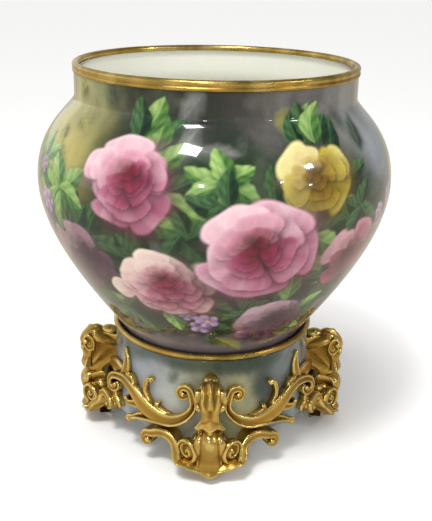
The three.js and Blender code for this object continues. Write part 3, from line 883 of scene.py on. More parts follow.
leafTones = {
    "fresh": toneRow((48, 88, 40), (106, 148, 72), (170, 194, 122)),
    "deep": toneRow((14, 36, 22), (32, 66, 38), (84, 118, 72)),
    "dusk": toneRow((30, 40, 32), (48, 62, 48), (80, 92, 74)),
    "mist": toneRow((84, 84, 82), (106, 106, 104), (128, 128, 122)),
    "olive": toneRow((84, 84, 34), (124, 122, 54), (162, 158, 86)),
}

# Groups of little blooms: turn, height, count
littleGroups = [(-66, 236, 8), (66, 226, 6), (-2, 140, 4), (104, 176, 7), (-148, 178, 8), (148, 214, 6)]

groundClouds = [
    # turn, height, spread round, spread up, red, green, blue
    (-78, 305, 24, 40, 176, 168, 112), (-58, 316, 12, 22, 140, 142, 98), (-40, 312, 20, 22, 45, 54, 39),
    (-12, 312, 24, 20, 29, 36, 27), (14, 312, 18, 20, 50, 47, 45), (38, 308, 18, 22, 98, 92, 94),
    (64, 306, 16, 30, 112, 116, 112), (-66, 268, 22, 34, 180, 166, 86), (-68, 215, 20, 26, 112, 104, 96),
    (-20, 232, 26, 36, 30, 50, 28), (8, 262, 24, 30, 30, 50, 28), (40, 236, 20, 26, 42, 54, 36),
    # Painted reflection: the narrow pale blue-grey cloud at turn 60, height 262 stands in for a soft sheen of
    # light from the right
    (60, 262, 9, 20, 150, 152, 160), (78, 262, 16, 30, 84, 94, 98), (68, 214, 20, 26, 50, 62, 50),
    (-56, 160, 24, 26, 66, 74, 68), (-10, 146, 26, 24, 30, 38, 26), (38, 160, 24, 26, 33, 34, 30),
    (66, 164, 24, 26, 52, 49, 53), (-26, 108, 44, 16, 104, 96, 98), (30, 108, 44, 16, 98, 86, 92),
    (110, 290, 34, 40, 92, 100, 90), (120, 200, 34, 40, 46, 60, 44), (152, 150, 34, 34, 84, 80, 84),
    (180, 300, 34, 30, 124, 122, 84), (180, 225, 30, 34, 42, 58, 40), (-150, 290, 30, 30, 82, 84, 66),
    (-140, 200, 32, 36, 46, 62, 42), (-110, 262, 26, 34, 142, 130, 78), (-112, 180, 28, 34, 96, 92, 98),
    (-160, 130, 34, 26, 88, 82, 86),
]


def paintLeaf(canvas, turn, height, angle, length, width, tones, share):
    index, x, y = canvas.near(turn, height, 1.25 * length)
    cos, sin = math.cos(angle), math.sin(angle)
    seed = random.uniform(3, 20)
    t = (x * cos + y * sin) / length
    bend, curl = leaf["bend"]
    across = -x * sin + y * cos - bend * length * np.sin(curl * t + seed)
    widest, blunt = leaf["outline"]
    half = 0.5 * width * np.sin(math.pi * np.clip(t, 1e-4, 1) ** widest) ** blunt
    s = across / (0.5 * width)
    tooth, teeth = leaf["teeth"]
    inside = np.minimum(half - np.abs(across), np.minimum(t, 1 - t) * length + 0.4)
    inside = inside + tooth * np.sin(teeth * t)
    fall = np.exp(np.clip(inside, None, 0) / leaf["shadowReach"]) * (inside < 0)
    canvas.lay(index, tones[0] * leaf["shadowTone"], leaf["shadowShare"] * fall * share)
    lit = 1 if -sin * handLight[0] + cos * handLight[1] > 0 else -1
    strength, sharpness = leaf["sideLight"]
    value = leaf["value"] + strength * np.tanh(sharpness * s) * lit
    value += leaf["strokes"] * strokes(t, s, seed) + leaf["tipLight"] * (t - 0.5)
    vein, veins, sweep = leaf["veins"]
    value += vein * np.cos(veins * (t - sweep * np.abs(s)))
    colours = blendTones(value, tones)
    rib = leaf["ribShare"] * np.exp(-(across / leaf["ribWidth"]) ** 2) * (t < leaf["ribEnd"])
    colours = colours + (tones[2] - colours) * rib[:, None]
    canvas.lay(index, colours, (inside / 1.7 + 0.35) * share)


def paintLittleBloom(canvas, turn, height, size, tones):
    index, x, y = canvas.near(turn, height, 1.6 * size)
    spin = random.uniform(0, 2)
    band = [tones[3], tones[1], tones[0]]
    for k in range(5):
        angle = spin + 2 * math.pi * k / 5
        layPetal(canvas, (index, x, y), (0, 0), angle, size, 0.85 * size, band, 0.02, 1.5)
    canvas.lay(index, goldenHeart, np.exp(-(np.hypot(x, y) / (0.17 * size)) ** 2))


ground = {
    "wander": (26, 60),  # how far the clouds' edges wander, and over what length
    "patches": (34, 0.62, 0.76),  # size, least brightness and how much more the brightest have
    "mist": (42, 0.52, 5, 0.16),  # size, where it starts, how sharply, share
    "mistTone": (176, 172, 160),
    "drag": (5, 46, 0.9),  # degrees and height of the brush strokes on the neck, and their strength
    "neck": (284, 304),
    "inside": (241, 241, 230),
}
faintLeaves = {
    "count": 170,
    "heights": (112, 322),
    "kinds": ("dusk", "dusk", "mist", "olive"),
    "oliveTurns": (-96, -50),
    "length": (22, 40),
    "width": (14, 24),
    "share": (0.1, 0.28),
}
bloomLeaves = {
    "count": 11,
    "reach": (0.6, 0.95),  # against the bloom's size
    "radius": 145,  # radius at which their places round the pot are measured
    "deepShare": 0.68,
    "sway": 0.35,
    "length": (26, 42),
    "width": (15, 22),
    "share": (0.8, 1),
}
# Lengths and widths against the size in the table
sprayLeaves = {"sway": 0.2, "length": (0.8, 1.1), "width": (0.5, 0.62), "share": 0.95}
littleBlooms = {"spreadRound": 5.5, "spreadUp": 13, "size": (7, 10)}


def paintGround(canvas):
    colours = canvas.clouded(groundClouds, *ground["wander"])
    size, least, more = ground["patches"]
    patch = cloud(canvas.points * np.array([1, 1, 0.6]), size, 3)
    colours = colours * (least + more * patch)[:, None]
    size, start, sharpness, share = ground["mist"]
    mist = share * np.clip((cloud(canvas.points + 300, size) - start) * sharpness, 0, 1)[:, None]
    colours = colours * (1 - mist) + mist * np.array(tone(*ground["mistTone"]))
    wide, tall, strength = ground["drag"]
    drag = np.stack([canvas.turn / wide, canvas.height / tall, np.full(len(canvas.turn), 7.0)], axis=1)
    drag = (cloud(drag + 40, 1.0, 2) - 0.5) * softStep(canvas.height, *ground["neck"])
    canvas.colours[:] = colours * (1 + strength * drag)[:, None]


def anyTurn():
    return random.uniform(0, 2 * math.pi)


# The length is drawn before the width
def leafMeasures(leaves):
    return random.uniform(*leaves["length"]), random.uniform(*leaves["width"])


def paintBowl(points, outer):
    canvas = Canvas(points)
    paintGround(canvas)
    along = np.concatenate([[0], np.cumsum(np.linalg.norm(np.diff(outer, axis=0), axis=1))])
    canvas.height = np.interp(points[:, 2], outer[:, 1], along)

    # Way up the side at a height
    def up(height):
        return float(np.interp(height, outer[:, 1], along))

    for _ in range(faintLeaves["count"]):
        place = (random.uniform(-180, 180), up(random.uniform(*faintLeaves["heights"])))
        kind = faintLeaves["kinds"][random.integers(len(faintLeaves["kinds"]))]
        first, last = faintLeaves["oliveTurns"]
        kind = "olive" if first < place[0] < last else kind
        paintLeaf(canvas, *place, anyTurn(), *leafMeasures(faintLeaves), leafTones[kind],
                  random.uniform(*faintLeaves["share"]))
    for turn, height, size, *_ in blooms:
        for _ in range(bloomLeaves["count"]):
            angle = anyTurn()
            reach = size * random.uniform(*bloomLeaves["reach"])
            moved = turn + math.degrees(reach * math.cos(angle) / bloomLeaves["radius"])
            kind = "deep" if random.random() < bloomLeaves["deepShare"] else "fresh"
            place = (moved, up(height) + reach * math.sin(angle))
            angle += random.normal(0, bloomLeaves["sway"])
            paintLeaf(canvas, *place, angle, *leafMeasures(bloomLeaves), leafTones[kind],
                      random.uniform(*bloomLeaves["share"]))
    for turn, height, count, size, kind in sprays:
        start = anyTurn()
        for k in range(count):
            angle = start + 2 * math.pi * k / count + random.normal(0, sprayLeaves["sway"])
            length, width = leafMeasures(sprayLeaves)
            paintLeaf(canvas, turn, up(height), angle, size * length, size * width, leafTones[kind],
                      sprayLeaves["share"])
    for turn, height, count in littleGroups:
        for _ in range(count):
            place = (turn + random.normal(0, littleBlooms["spreadRound"]),
                     up(height) + random.normal(0, littleBlooms["spreadUp"]))
            paintLittleBloom(canvas, *place, random.uniform(*littleBlooms["size"]), lilac)
    for turn, height, *rest in blooms:
        paintBloom(canvas, turn, up(height), *rest)
    return canvas.colours


def addBowl():
    points, faces, painted, outer = buildBowlShape()
    colours = np.tile(np.array(tone(*ground["inside"])), (len(points), 1))
    colours[:painted] = paintBowl(points[:painted], outer)
    shape = facingOut(points, faces)
    addPiece("bowlPainted", shape, bowlGlaze, "bowl", ["bowl_body"], paint=colours)


addBowl()
print("bowl painted")

# Rim bead and top bead of the stand

rim = {"upperRoll": 2.7, "lowerRoll": 1.9, "pitch": 3.9, "sunk": 0.8, "back": 1.5, "around": 240}
standRing = {"radius": 88.0, "base": 98.3, "roll": 2.6, "inset": 2.4, "under": 0.4, "around": 200}


def roundArc(centre, radius, start, end, steps):
    turn = np.radians(np.linspace(start, end, steps))
    return np.stack([centre[0] + radius * np.cos(turn), centre[1] + radius * np.sin(turn)], axis=1)


# Gilding is rubbed thin in patches along a bead, and the bead is painted paler towards its top, a painted
# highlight from light above
def addBead(name, outline, around, body, replaced):
    points, faces = closedLathe(outline, around)
    # Share of the way up the bead, for the painted highlight at its top
    shape = (points[:, 2] - outline[:, 1].min()) / np.ptp(outline[:, 1])
    ridge = np.clip(0.35 + 0.6 * cloud(points, 26, 3) * (0.6 + 0.4 * shape), 0, 1)
    addPiece(name, (points, faces), rimGilt, body, replaced, ridge)


def addBeads():
    top, neck, neckTop = bowl["rimTop"], bowl["neckRadius"], bowl["neckTop"]
    upper = (neck - bowl["wall"] / 2 + 0.5, top - rim["upperRoll"])
    lower = (neck - rim["sunk"], top - rim["upperRoll"] - rim["pitch"])
    back = neck - rim["back"]
    outline = np.vstack([
        roundArc(upper, rim["upperRoll"], 215, -38, 22),
        roundArc(lower, rim["lowerRoll"], 62, -90, 14),
        [[back, lower[1] - rim["lowerRoll"] + 0.4], [back, neckTop - 0.6]],
        [[neck - bowl["wall"] + 0.6, neckTop - 0.8]],
    ])
    addBead("rimBead", outline, rim["around"], "bowl", ["bowl_rim_bead"])
    radius, base, roll = standRing["radius"], standRing["base"], standRing["roll"]
    foot = base - standRing["under"]
    outline = np.vstack([
        roundArc((radius - roll / 4, base + roll), roll, -90, 260, 22),
        [[radius - standRing["inset"], foot], [radius - 0.2, foot]],
    ])
    addBead("standTopBead", outline, standRing["around"], "stand", ["stand_top_bead"])


addBeads()
print("beads made")

# The stand's wall, with its ledge inside and four arches below

stand = {
    "height": 98.0,
    "topRadius": 88.0,
    "flare": 9.5,
    "flareCurve": 1.8,
    "wall": 6.0,
    "lift": 7.0,
    "ledgeTop": 80.0,
    "ledge": 6.0,
    "hole": 42.0,
    "archHalf": 50.0,
    "archHeight": 29.0,
    "archPower": 3.4,
    "archLevel": 8.0,  # height of the wall whose radius the arches are measured at
    "legSteps": 12,
    "archSteps": 130,
    "rows": 46,
    "insideRows": 8,
}


def wallRadius(height):
    share = np.clip(1 - np.asarray(height, float) / stand["height"], 0, 1)
    return stand["topRadius"] + stand["flare"] * share ** stand["flareCurve"]


def lowestWall(turn, radius):
    away = (turn % (math.pi / 2)) - math.pi / 4
    across = np.abs(radius * np.sin(away)) / stand["archHalf"]
    power = stand["archPower"]
    arch = np.clip(1 - across ** power, 0, None) ** (1 / power)
    return np.maximum(stand["archHeight"] * arch, stand["lift"])


# Turns closer together at the ends of each arch
def standTurns():
    edge = math.asin(stand["archHalf"] / (stand["topRadius"] + stand["flare"]))
    leg = 0.5 * (math.pi / 2 - 2 * edge)
    legTurns = leg * np.linspace(0, 1, stand["legSteps"], endpoint=False)
    archTurns = 2 * edge * (0.5 + 0.5 * acrossShares(stand["archSteps"]))[:-1]
    quarter = np.concatenate([legTurns, leg + archTurns, leg + 2 * edge + legTurns])
    return np.concatenate([quarter + k * math.pi / 2 for k in range(4)])


standClouds = [
    # turn, height, spread round, spread up, red, green, blue
    (-50, 62, 14, 24, 134, 140, 152), (-34, 62, 12, 20, 150, 152, 150), (-18, 60, 10, 22, 158, 160, 148),
    (-4, 66, 10, 22, 140, 142, 116), (-20, 93, 30, 5, 44, 58, 48), (16, 92, 26, 6, 40, 54, 44),
    (-52, 92, 14, 6, 60, 74, 66), (31, 68, 8, 14, 32, 44, 36), (46, 66, 10, 20, 104, 110, 108),
    (56, 80, 8, 16, 62, 72, 70), (15, 58, 8, 18, 154, 152, 112), (12, 34, 10, 14, 150, 150, 112),
    (-14, 36, 12, 14, 140, 140, 126), (90, 60, 40, 40, 118, 126, 128), (120, 84, 30, 14, 58, 70, 62),
    (180, 60, 50, 40, 128, 132, 122), (-160, 86, 34, 12, 62, 74, 68), (-90, 60, 40, 40, 130, 136, 136),
    # Painted shade: the two dark clouds low at turns -90 and 90 darken the wall's legs under the side feet
    (-90, 6, 24, 14, 40, 40, 36), (90, 6, 24, 14, 40, 40, 36),
]


standGround = {"wander": (14, 24), "patches": (18, 0.88, 0.44), "inside": (214, 214, 206)}
standLeaves = {
    "count": 90,
    "heights": (52, 100),
    "kinds": ("dusk", "dusk", "mist"),
    "length": (14, 26),
    "width": (10, 18),
    "share": (0.04, 0.14),
}


def paintStand(points):
    canvas = Canvas(points)
    size, least, more = standGround["patches"]
    patch = least + more * cloud(points, size)
    canvas.colours[:] = canvas.clouded(standClouds, *standGround["wander"]) * patch[:, None]
    for _ in range(standLeaves["count"]):
        kind = standLeaves["kinds"][random.integers(len(standLeaves["kinds"]))]
        place = (random.uniform(-180, 180), random.uniform(*standLeaves["heights"]))
        paintLeaf(canvas, *place, anyTurn(), *leafMeasures(standLeaves), leafTones[kind],
                  random.uniform(*standLeaves["share"]))
    return canvas.colours


def standSection(turn):
    height, wall, ledgeTop, hole = stand["height"], stand["wall"], stand["ledgeTop"], stand["hole"]
    ledgeBottom = ledgeTop - stand["ledge"]
    low = lowestWall(turn, wallRadius(stand["archLevel"]))
    lowInside = lowestWall(turn, wallRadius(stand["archLevel"]) - wall)
    up = low + (height - low) * np.linspace(0, 1, stand["rows"])
    down = ledgeBottom - (ledgeBottom - lowInside) * np.linspace(0, 1, stand["insideRows"])
    return np.vstack([
        np.stack([wallRadius(up), up], axis=1),
        [[wallRadius(height) - wall, height], [wallRadius(ledgeTop) - wall, ledgeTop]],
        [[hole, ledgeTop], [hole, ledgeBottom]],
        np.stack([wallRadius(down) - wall, down], axis=1),
    ])


def addStand():
    rings = []
    for turn in standTurns():
        out, up = standSection(turn).T
        rings.append(np.stack([out * math.sin(turn), -out * math.cos(turn), up], axis=1))
    rings = np.array(rings)
    points, faces = loft(rings, True)
    colours = np.tile(np.array(tone(*standGround["inside"])), (len(points), 1))
    isOuter = np.arange(len(points)) % rings.shape[1] < stand["rows"]
    colours[isOuter] = paintStand(points[isOuter])
    addPiece("standWall", (points, faces), standGlaze, "stand", ["stand_body"], paint=colours)


addStand()
print("stand made")

# Scrollwork: sprigs swept along the wall, given as rows of
# (degrees round from a foot, height, how far its front stands out, half width, depth of its channel)

scroll = {
    "scale": 97.5,  # radius at which a degree round the wall is measured
    "points": 15,  # across a section
    "back": -1.5,
    "edge": 2.4,
    "channelDepth": 7.0,
    "leastHalf": 0.25,
    "bandEdge": 3.2,
    "roundness": 5,  # of a section's edges: higher is squarer
    "grooveHalf": 0.9,
    "grooveSlope": 1.6,
}
sectionShares = acrossShares(scroll["points"])
dome = np.clip(1 - np.abs(sectionShares) ** scroll["roundness"], 0, 1) ** 0.5
groove = np.clip(1 - (sectionShares / scroll["grooveHalf"]) ** 2, 0, 1) ** scroll["grooveSlope"]


def onWall(across, height, out):
    turn = across / scroll["scale"]
    radius = wallRadius(height) + out
    return np.stack([-radius * np.sin(turn), -radius * np.cos(turn), height], axis=-1)


# Sweep a section along the wall: sectionOf gives the places across, in half widths, and the places out
def sweepOnWall(stops, steps, sectionOf):
    rows = smoothCurve([(math.radians(row[0]) * scroll["scale"], *row[1:]) for row in stops], steps)
    rings = []
    for (x, z, *measures), (dx, dz) in zip(rows, headings(rows[:, :2])):
        offset, out = sectionOf(*measures)
        rings.append(onWall(x - offset * dz, z + offset * dx, out))
    return loft(np.array(rings))


def sprigSection(front, half, channel):
    back, half = scroll["back"], max(half, scroll["leastHalf"])
    edge = min(scroll["edge"], 0.4 * (front - back))
    face = front - edge * (1 - dome) - scroll["channelDepth"] * channel * groove * min(1, half / 4)
    side = max(front - edge - 1, back + 0.4)
    across = np.concatenate([sectionShares, [0.97, 0.4, -0.4, -0.97]]) * half
    return across, np.concatenate([face, [side, back, back, side]])


def bandSection(front, half, channel, base):
    face = front - min(front - base, scroll["bandEdge"]) * (1 - dome * (1 - channel * groove))
    return np.concatenate([sectionShares, [1, -1]]) * half, np.concatenate([face, [base, base]])


def spiral(centre, height, start, end, startRadius, endRadius, count, rest, tilt=0.0):
    rows = []
    for share in np.linspace(0, 1, count):
        turn = math.radians(start + (end - start) * share)
        radius = startRadius * (endRadius / startRadius) ** share
        across, up = radius * math.cos(turn), radius * math.sin(turn)
        front, *others = rest(share)
        place = centre + math.degrees(across / scroll["scale"])
        rows.append((place, height + up, front + tilt * across, *others))
    return rows


def wallBall(turn, height, out, size):
    place = onWall(math.radians(turn) * scroll["scale"], height, out)
    return ball(place, (size, size, size))


branch = {
    "grain": 0.55,
    "smoothing": 6,
    "stem": [
        *spiral(13.8, 68.8, -180, 180, 3.2, 7, 12, lambda s: (5.8 + 2 * s, 2 + 1.2 * s, 0.24)),
        (8.9, 63.4, 8, 3.2, 0.26), (8.6, 58.4, 8.2, 3.4, 0.28), (10.1, 53, 8.6, 3.8, 0.28),
        (13.1, 48.4, 8.9, 4.4, 0.24), (16.8, 45.4, 9.1, 4.7, 0.2), (20.9, 43.9, 9.2, 5, 0.16),
        (25.6, 44.2, 9.3, 5.6, 0.12), (31, 46.8, 9.4, 6.4, 0.08), (36, 50.6, 9.5, 6.8, 0.08),
        (40, 55.6, 9.6, 6.2, 0.1), (44.2, 60, 9.2, 5.4, 0.14), (49, 63, 8.6, 4.6, 0.18),
        (54.6, 63.6, 8, 4, 0.24),
        *spiral(61.4, 52.4, 96, -250, 9.4, 2.4, 15, lambda s: (9.4 - 1.2 * s, 3.4 - 1.5 * s, 0.3), 0.45),
    ],
    "leaves": [
        [(28.6, 46.5, 7.4, 2.8, 0), (31.4, 50.8, 7.4, 2, 0.1), (34.6, 57.2, 7, 1.7, 0.1),
         (36.5, 63.2, 6.6, 1.8, 0.15), (36.5, 69, 6.2, 2.3, 0.1), (35, 73.6, 5.8, 2.3, 0),
         (32.8, 74.8, 5.2, 1.7, 0), (31.8, 73, 4.6, 0.9, 0)],
        [(21.5, 45.5, 7, 4, 0.1), (25.6, 48.6, 7.6, 3, 0.2), (28.2, 52, 7.4, 2, 0.1),
         (28.7, 55.4, 6.8, 1.4, 0), (27.4, 56.2, 6, 0.9, 0)],
        [(26, 42, 7.8, 4.6, 0.2), (33, 41, 8, 4.2, 0.25), (39, 38.2, 8, 3.3, 0.25),
         (43, 34.6, 7.8, 2.4, 0.15), (46.4, 33.4, 7.6, 1.8, 0), (48, 31, 7.2, 1.5, 0),
         (46, 29.4, 6.6, 1.2, 0), (44.8, 31, 6, 0.8, 0)],
        [(40, 49, 8, 4.6, 0.15), (44.6, 46.6, 7.8, 3, 0.2), (48.4, 45.6, 7.4, 2.2, 0.1),
         (50.6, 47.8, 6.8, 1.5, 0), (49.2, 50, 6, 0.9, 0)],
        [(44.4, 57, 7, 4.4, 0.1), (45.4, 63.4, 7.4, 3.8, 0.2), (47, 68.4, 7.4, 3, 0.1),
         (50, 69.8, 7, 2.2, 0), (51, 66.8, 6, 1.2, 0)],
        [(54.5, 64, 6.4, 6.2, 0.1), (53.6, 72, 5.6, 5.6, 0.2), (53.8, 80, 4.6, 4.2, 0.25),
         (55, 87.2, 3.6, 2.4, 0.15), (56.2, 91.4, 2.8, 0.9, 0)],
        [(50, 62, 5.4, 5.6, 0.1), (56, 65, 5.2, 6.6, 0.16), (63, 66, 5, 6.8, 0.2), (70, 65.4, 5, 6.4, 0.2),
         (76, 64, 5, 5, 0.1), (80, 62.6, 4.8, 3, 0)],
        [(63, 49, 7.8, 3.4, 0), (60.8, 40.5, 7.6, 3.6, 0.2), (65, 36.4, 7.4, 3.3, 0.25),
         (71, 35.4, 7, 2.7, 0.15), (75.2, 38.6, 6.4, 1.8, 0), (74.6, 42.4, 5.4, 0.9, 0)],
        [(61, 42, 7.2, 2.8, 0), (57, 37.4, 6.8, 2.3, 0), (55.4, 33.6, 6, 1.1, 0)],
        [(63, 40, 7.2, 2.6, 0), (61.8, 33.4, 6.6, 2.1, 0), (63.4, 30.2, 5.6, 1, 0)],
    ],
    "rib": [
        (7.4, 62, 8.4, 0.9, 0), (7.9, 55, 9.2, 1.1, 0), (11.6, 47, 9.8, 1.2, 0), (16.2, 42, 10, 1.3, 0),
        (21, 40, 10, 1.3, 0), (27, 39.6, 9.6, 1.2, 0), (34, 38.6, 9.2, 1.1, 0), (40, 36.4, 8.8, 1, 0),
        (44.4, 32.6, 8, 0.8, 0),
    ],
    "beads": [(14.2, 68, 5.2, 2.2), (33, 73.6, 4.6, 2), (46.2, 31.4, 6.6, 1.9), (61.4, 52.4, 7, 2.2),
              (27.8, 55, 6, 1.6), (49.6, 48.4, 6.2, 1.8)],
}


def buildBranch():
    lines = [(branch["stem"], 190), *((line, 44) for line in branch["leaves"]), (branch["rib"], 90)]
    shells = [sweepOnWall(line, steps, sprigSection) for line, steps in lines]
    shells += [wallBall(*bead) for bead in branch["beads"]]
    return fused(shells, branch["grain"], branch["smoothing"])


# A bracket's rows have their back as a sixth value; the outer ones move with its reach and rise
bracket = {
    "grain": 0.5,
    "smoothing": 3,
    "foot": [
        (12.6, 15.6, 23.6, 2.8, 0.1, 15), (13.8, 18.2, 22.6, 3.4, 0.16, 12), (14.4, 21.2, 21, 3.5, 0.2, 8),
        (15, 24.6, 18.8, 3.6, 0.22, 4.5), (16.3, 28, 16.2, 3.7, 0.22, 1),
    ],
    "bow": [
        (18.6, 31.2, 14, 3.8, 0.22, -1.5), (22, 32.9, 12.8, 3.8, 0.22, -1.5),
        (25.8, 32, 11.8, 3.8, 0.22, -1.5), (29.4, 29.4, 11.2, 3.6, 0.22, -1.5),
    ],
    "bowRise": (0.4, 0.5, 0.65, 0.85),  # how much of the rise each row of the bow takes up
    "start": 13.0,
    "curl": (31.0, 22.6),
    "curlRadii": (6.4, 1.6),
    "eye": (9.6, 2.6),
    "fullReach": 20.0,
}


def buildBracket(reach, rise, curlSize):
    start, (curl, height) = bracket["start"], bracket["curl"]
    spread = (reach - start) / bracket["fullReach"]
    middle = start + (curl - start) * spread
    bow = [(start + (turn - start) * spread, up + rise * share, *rest)
           for (turn, up, *rest), share in zip(bracket["bow"], bracket["bowRise"])]
    wide, narrow = bracket["curlRadii"]
    end = spiral(middle, height + rise, 66, -215, wide * curlSize, narrow, 9,
                 lambda s: (11 - 1.6 * s, 3.3 - 2.2 * s, 0.2 * (1 - s), -1.5))
    out, size = bracket["eye"]
    band = sweepOnWall(bracket["foot"] + bow + end, 130, bandSection)
    eye = wallBall(middle, height + rise, out, size * curlSize)
    return fused([band, eye], bracket["grain"], bracket["smoothing"])


def mirrored(shape, x, y):
    points, faces = shape
    return points * np.array([x, y, 1]), (faces[:, ::-1] if x * y < 0 else faces)


def turned(shape, degrees):
    angle = math.radians(degrees)
    cos, sin = math.cos(angle), math.sin(angle)
    spin = np.array([[cos, -sin, 0], [sin, cos, 0], [0, 0, 1]])
    return shape[0] @ spin.T, shape[1]


def addScrolls():
    shapes = {"branch": buildBranch(), "bracket": buildBracket(33, 0, 1)}
    for kind, shape in shapes.items():
        ridge = ridgeShare(*shape)
        for front, y in (("front", 1), ("back", -1)):
            for hand, x in (("left", 1), ("right", -1)):
                addPiece(f"{kind}Scroll_{front}_{hand}", mirrored(shape, x, y), gilt, "stand",
                         [f"{kind}_{front}_{hand}"], ridge)
    narrow = buildBracket(26, 8, 0.8)
    ridge = ridgeShare(*narrow)
    for hand, x in (("left", -1), ("right", 1)):
        for front, y in (("front", 1), ("back", -1)):
            shape = turned(mirrored(narrow, x * y, 1), 90 * x)
            addPiece(f"bracketScroll_{hand}_{front}", shape, gilt, "stand",
                     [f"bracket_{hand}_{front}"], ridge)


addScrolls()
print("scrollwork made")

# The feet, each built for the front: across, distance from the axis, height

foot = {
    "grain": 0.5,
    "smoothing": 2,
    "head": [
        # distance, height, half width, crown, ridge, dent
        (86, 79, 8, 4, 0, 0), (90, 81, 9.4, 5, 0, 0), (95, 83.6, 10.8, 6, 0, 0),
        (100, 86.4, 11.8, 6.2, 0.2, 0), (105, 88.3, 11.6, 6, 0.7, 0), (109.4, 87.9, 11.7, 5.6, 1.2, 0),
        (113.4, 85.6, 11.7, 5.2, 1.5, 0), (117, 82.2, 11.5, 4.8, 1.5, 0), (120, 77.8, 11, 4.4, 1.3, 0),
        (122, 73, 10, 4, 0.9, 0.6), (122.6, 68.6, 8.8, 3.4, 0, 2.4), (121.6, 64, 7.2, 2.8, 0, 2.4),
        (120.4, 59, 6.8, 2.2, 0, 0.8), (119.4, 54, 7, 2, 0, 0), (117.4, 49, 6.8, 1.8, 0, 0),
        (113, 45.2, 6.2, 1.5, 0, 0), (108.6, 43, 5, 1, 0, 0),
    ],
    "headDepth": 4.0,
    "ribs": [(0, 1.5, 1.9), (4.4, -0.8, 1.5), (8, 0.9, 1.7)],  # place, height, width
    "ribHalf": 12.8,  # half width of the head at which the ribs have those places
    "dentWidth": 3.6,
    "flankHalf": 7.8,
    "flankDish": 2.6,
    "flankFolds": 0.6,
    "foldRoot": (119, 44),
    "foldCount": 15,
    "foldReach": 20.0,
    "flankShares": (0.05, 0.2, 0.35, 0.5, 0.65, 0.8, 0.92, 1.0),
    "flank": [(84, 60), (84, 80), (92, 83), (101, 85), (109, 84), (115.4, 78), (118, 70), (118.4, 60),
              (116.6, 50), (110, 45), (104, 45), (99, 49), (92, 55)],
    "ear": (112.6, 75.8),
    "earAcross": 8.4,
    "earRadii": (5.4, 9.0),
    "earThickness": 3.4,
    "earRelief": 1.0,
    "tips": [
        # across, distance, height, radii, lean outwards
        (11.2, 115.6, 76.6, (2.2, 2.8, 3.4), -38), (9.8, 118.2, 70.6, (2.1, 2.6, 3.4), -32),
    ],
    "collar": [
        # height, half width, reach
        (63, 6, 118.6), (60, 7, 119.6), (57, 8.8, 120.6), (54.5, 10.8, 121.2), (52.6, 12.4, 121.4),
        (51.4, 13.2, 120.8), (50.8, 12.2, 118),
    ],
    "collarWaves": [(0, -1.6, 0.22), (0.45, 1.0, 0.17), (0.84, -1.0, 0.15)],  # place, height, width
    "collarStart": (60, 8),  # height from which the waves grow, and over what drop
    "collarCurve": 5.0,
    "collarBack": 112.0,
    "neckBead": (0, 119.6, 48.8, 2.2),
}


def footPlace(across, reach, height):
    across, reach, height = (np.asarray(value, float) for value in (across, reach, height))
    return np.stack([across, -reach, height], axis=-1)


# Bumps and hollows across a section, alike on both sides: place, height and width of each
def bumps(across, rows, spread=1):
    out = np.abs(across)
    return sum(tall * np.exp(-((out - place * spread) / width) ** 2) for place, tall, width in rows)


# Sweep a section along a line in the foot's middle plane: frontOf gives its places out from the line
def sweepInPlane(stops, steps, points, frontOf):
    rows = smoothCurve(stops, steps)
    s = acrossShares(points)
    rings = []
    for (reach, height, half, *measures), (dr, dz) in zip(rows, headings(rows[:, :2])):
        front, depth = frontOf(s, s * half, half, *measures)
        across = np.concatenate([s * half, [half, -half]])
        out = np.concatenate([front, [-depth, -depth]])
        rings.append(footPlace(across, reach - out * dz, height + out * dr))
    return loft(np.array(rings))


def headFront(s, across, half, crown, ridge, dent):
    front = -crown * s ** 2 - 1.2 * np.abs(s) ** 14
    front = front + ridge * bumps(across, foot["ribs"], half / foot["ribHalf"])
    return front - dent * np.exp(-(across / foot["dentWidth"]) ** 2), foot["headDepth"] + crown


# Flat piece whose two faces are dished, with folds that fan out from a root
def flankShell(outline, half, dish, folds=0.0):
    line = evened(smoothCurve(outline + [outline[0]], 80), 81)[:-1]
    middle = line.mean(0)
    faceRings = []
    for share in foot["flankShares"]:
        across = half - dish * (1 - share ** 2) ** 1.5 - 0.8 * share ** 12
        reach, height = (middle + (line - middle) * share).T
        back, up = foot["foldRoot"][0] - reach, height - foot["foldRoot"][1]
        fan = np.cos(foot["foldCount"] * np.arctan2(up, back))
        fan = folds * fan * np.clip(np.hypot(back, up) / foot["foldReach"], 0, 1)
        faceRings.append((across + fan * (1 - share ** 5), reach, height))
    rings = [footPlace(-across, reach, height) for across, reach, height in faceRings]
    rings += [footPlace(*ring) for ring in faceRings[::-1]]
    return loft(np.array(rings))


volute = {
    # places out from the middle, as shares, with their widths
    "hook": (0.66, 0.13),
    "hookWind": 0.5,
    "rim": (0.86, 0.15),
    "eye": 0.16,
    "edge": 0.9,
    "rings": 30,
    "around": 60,
}


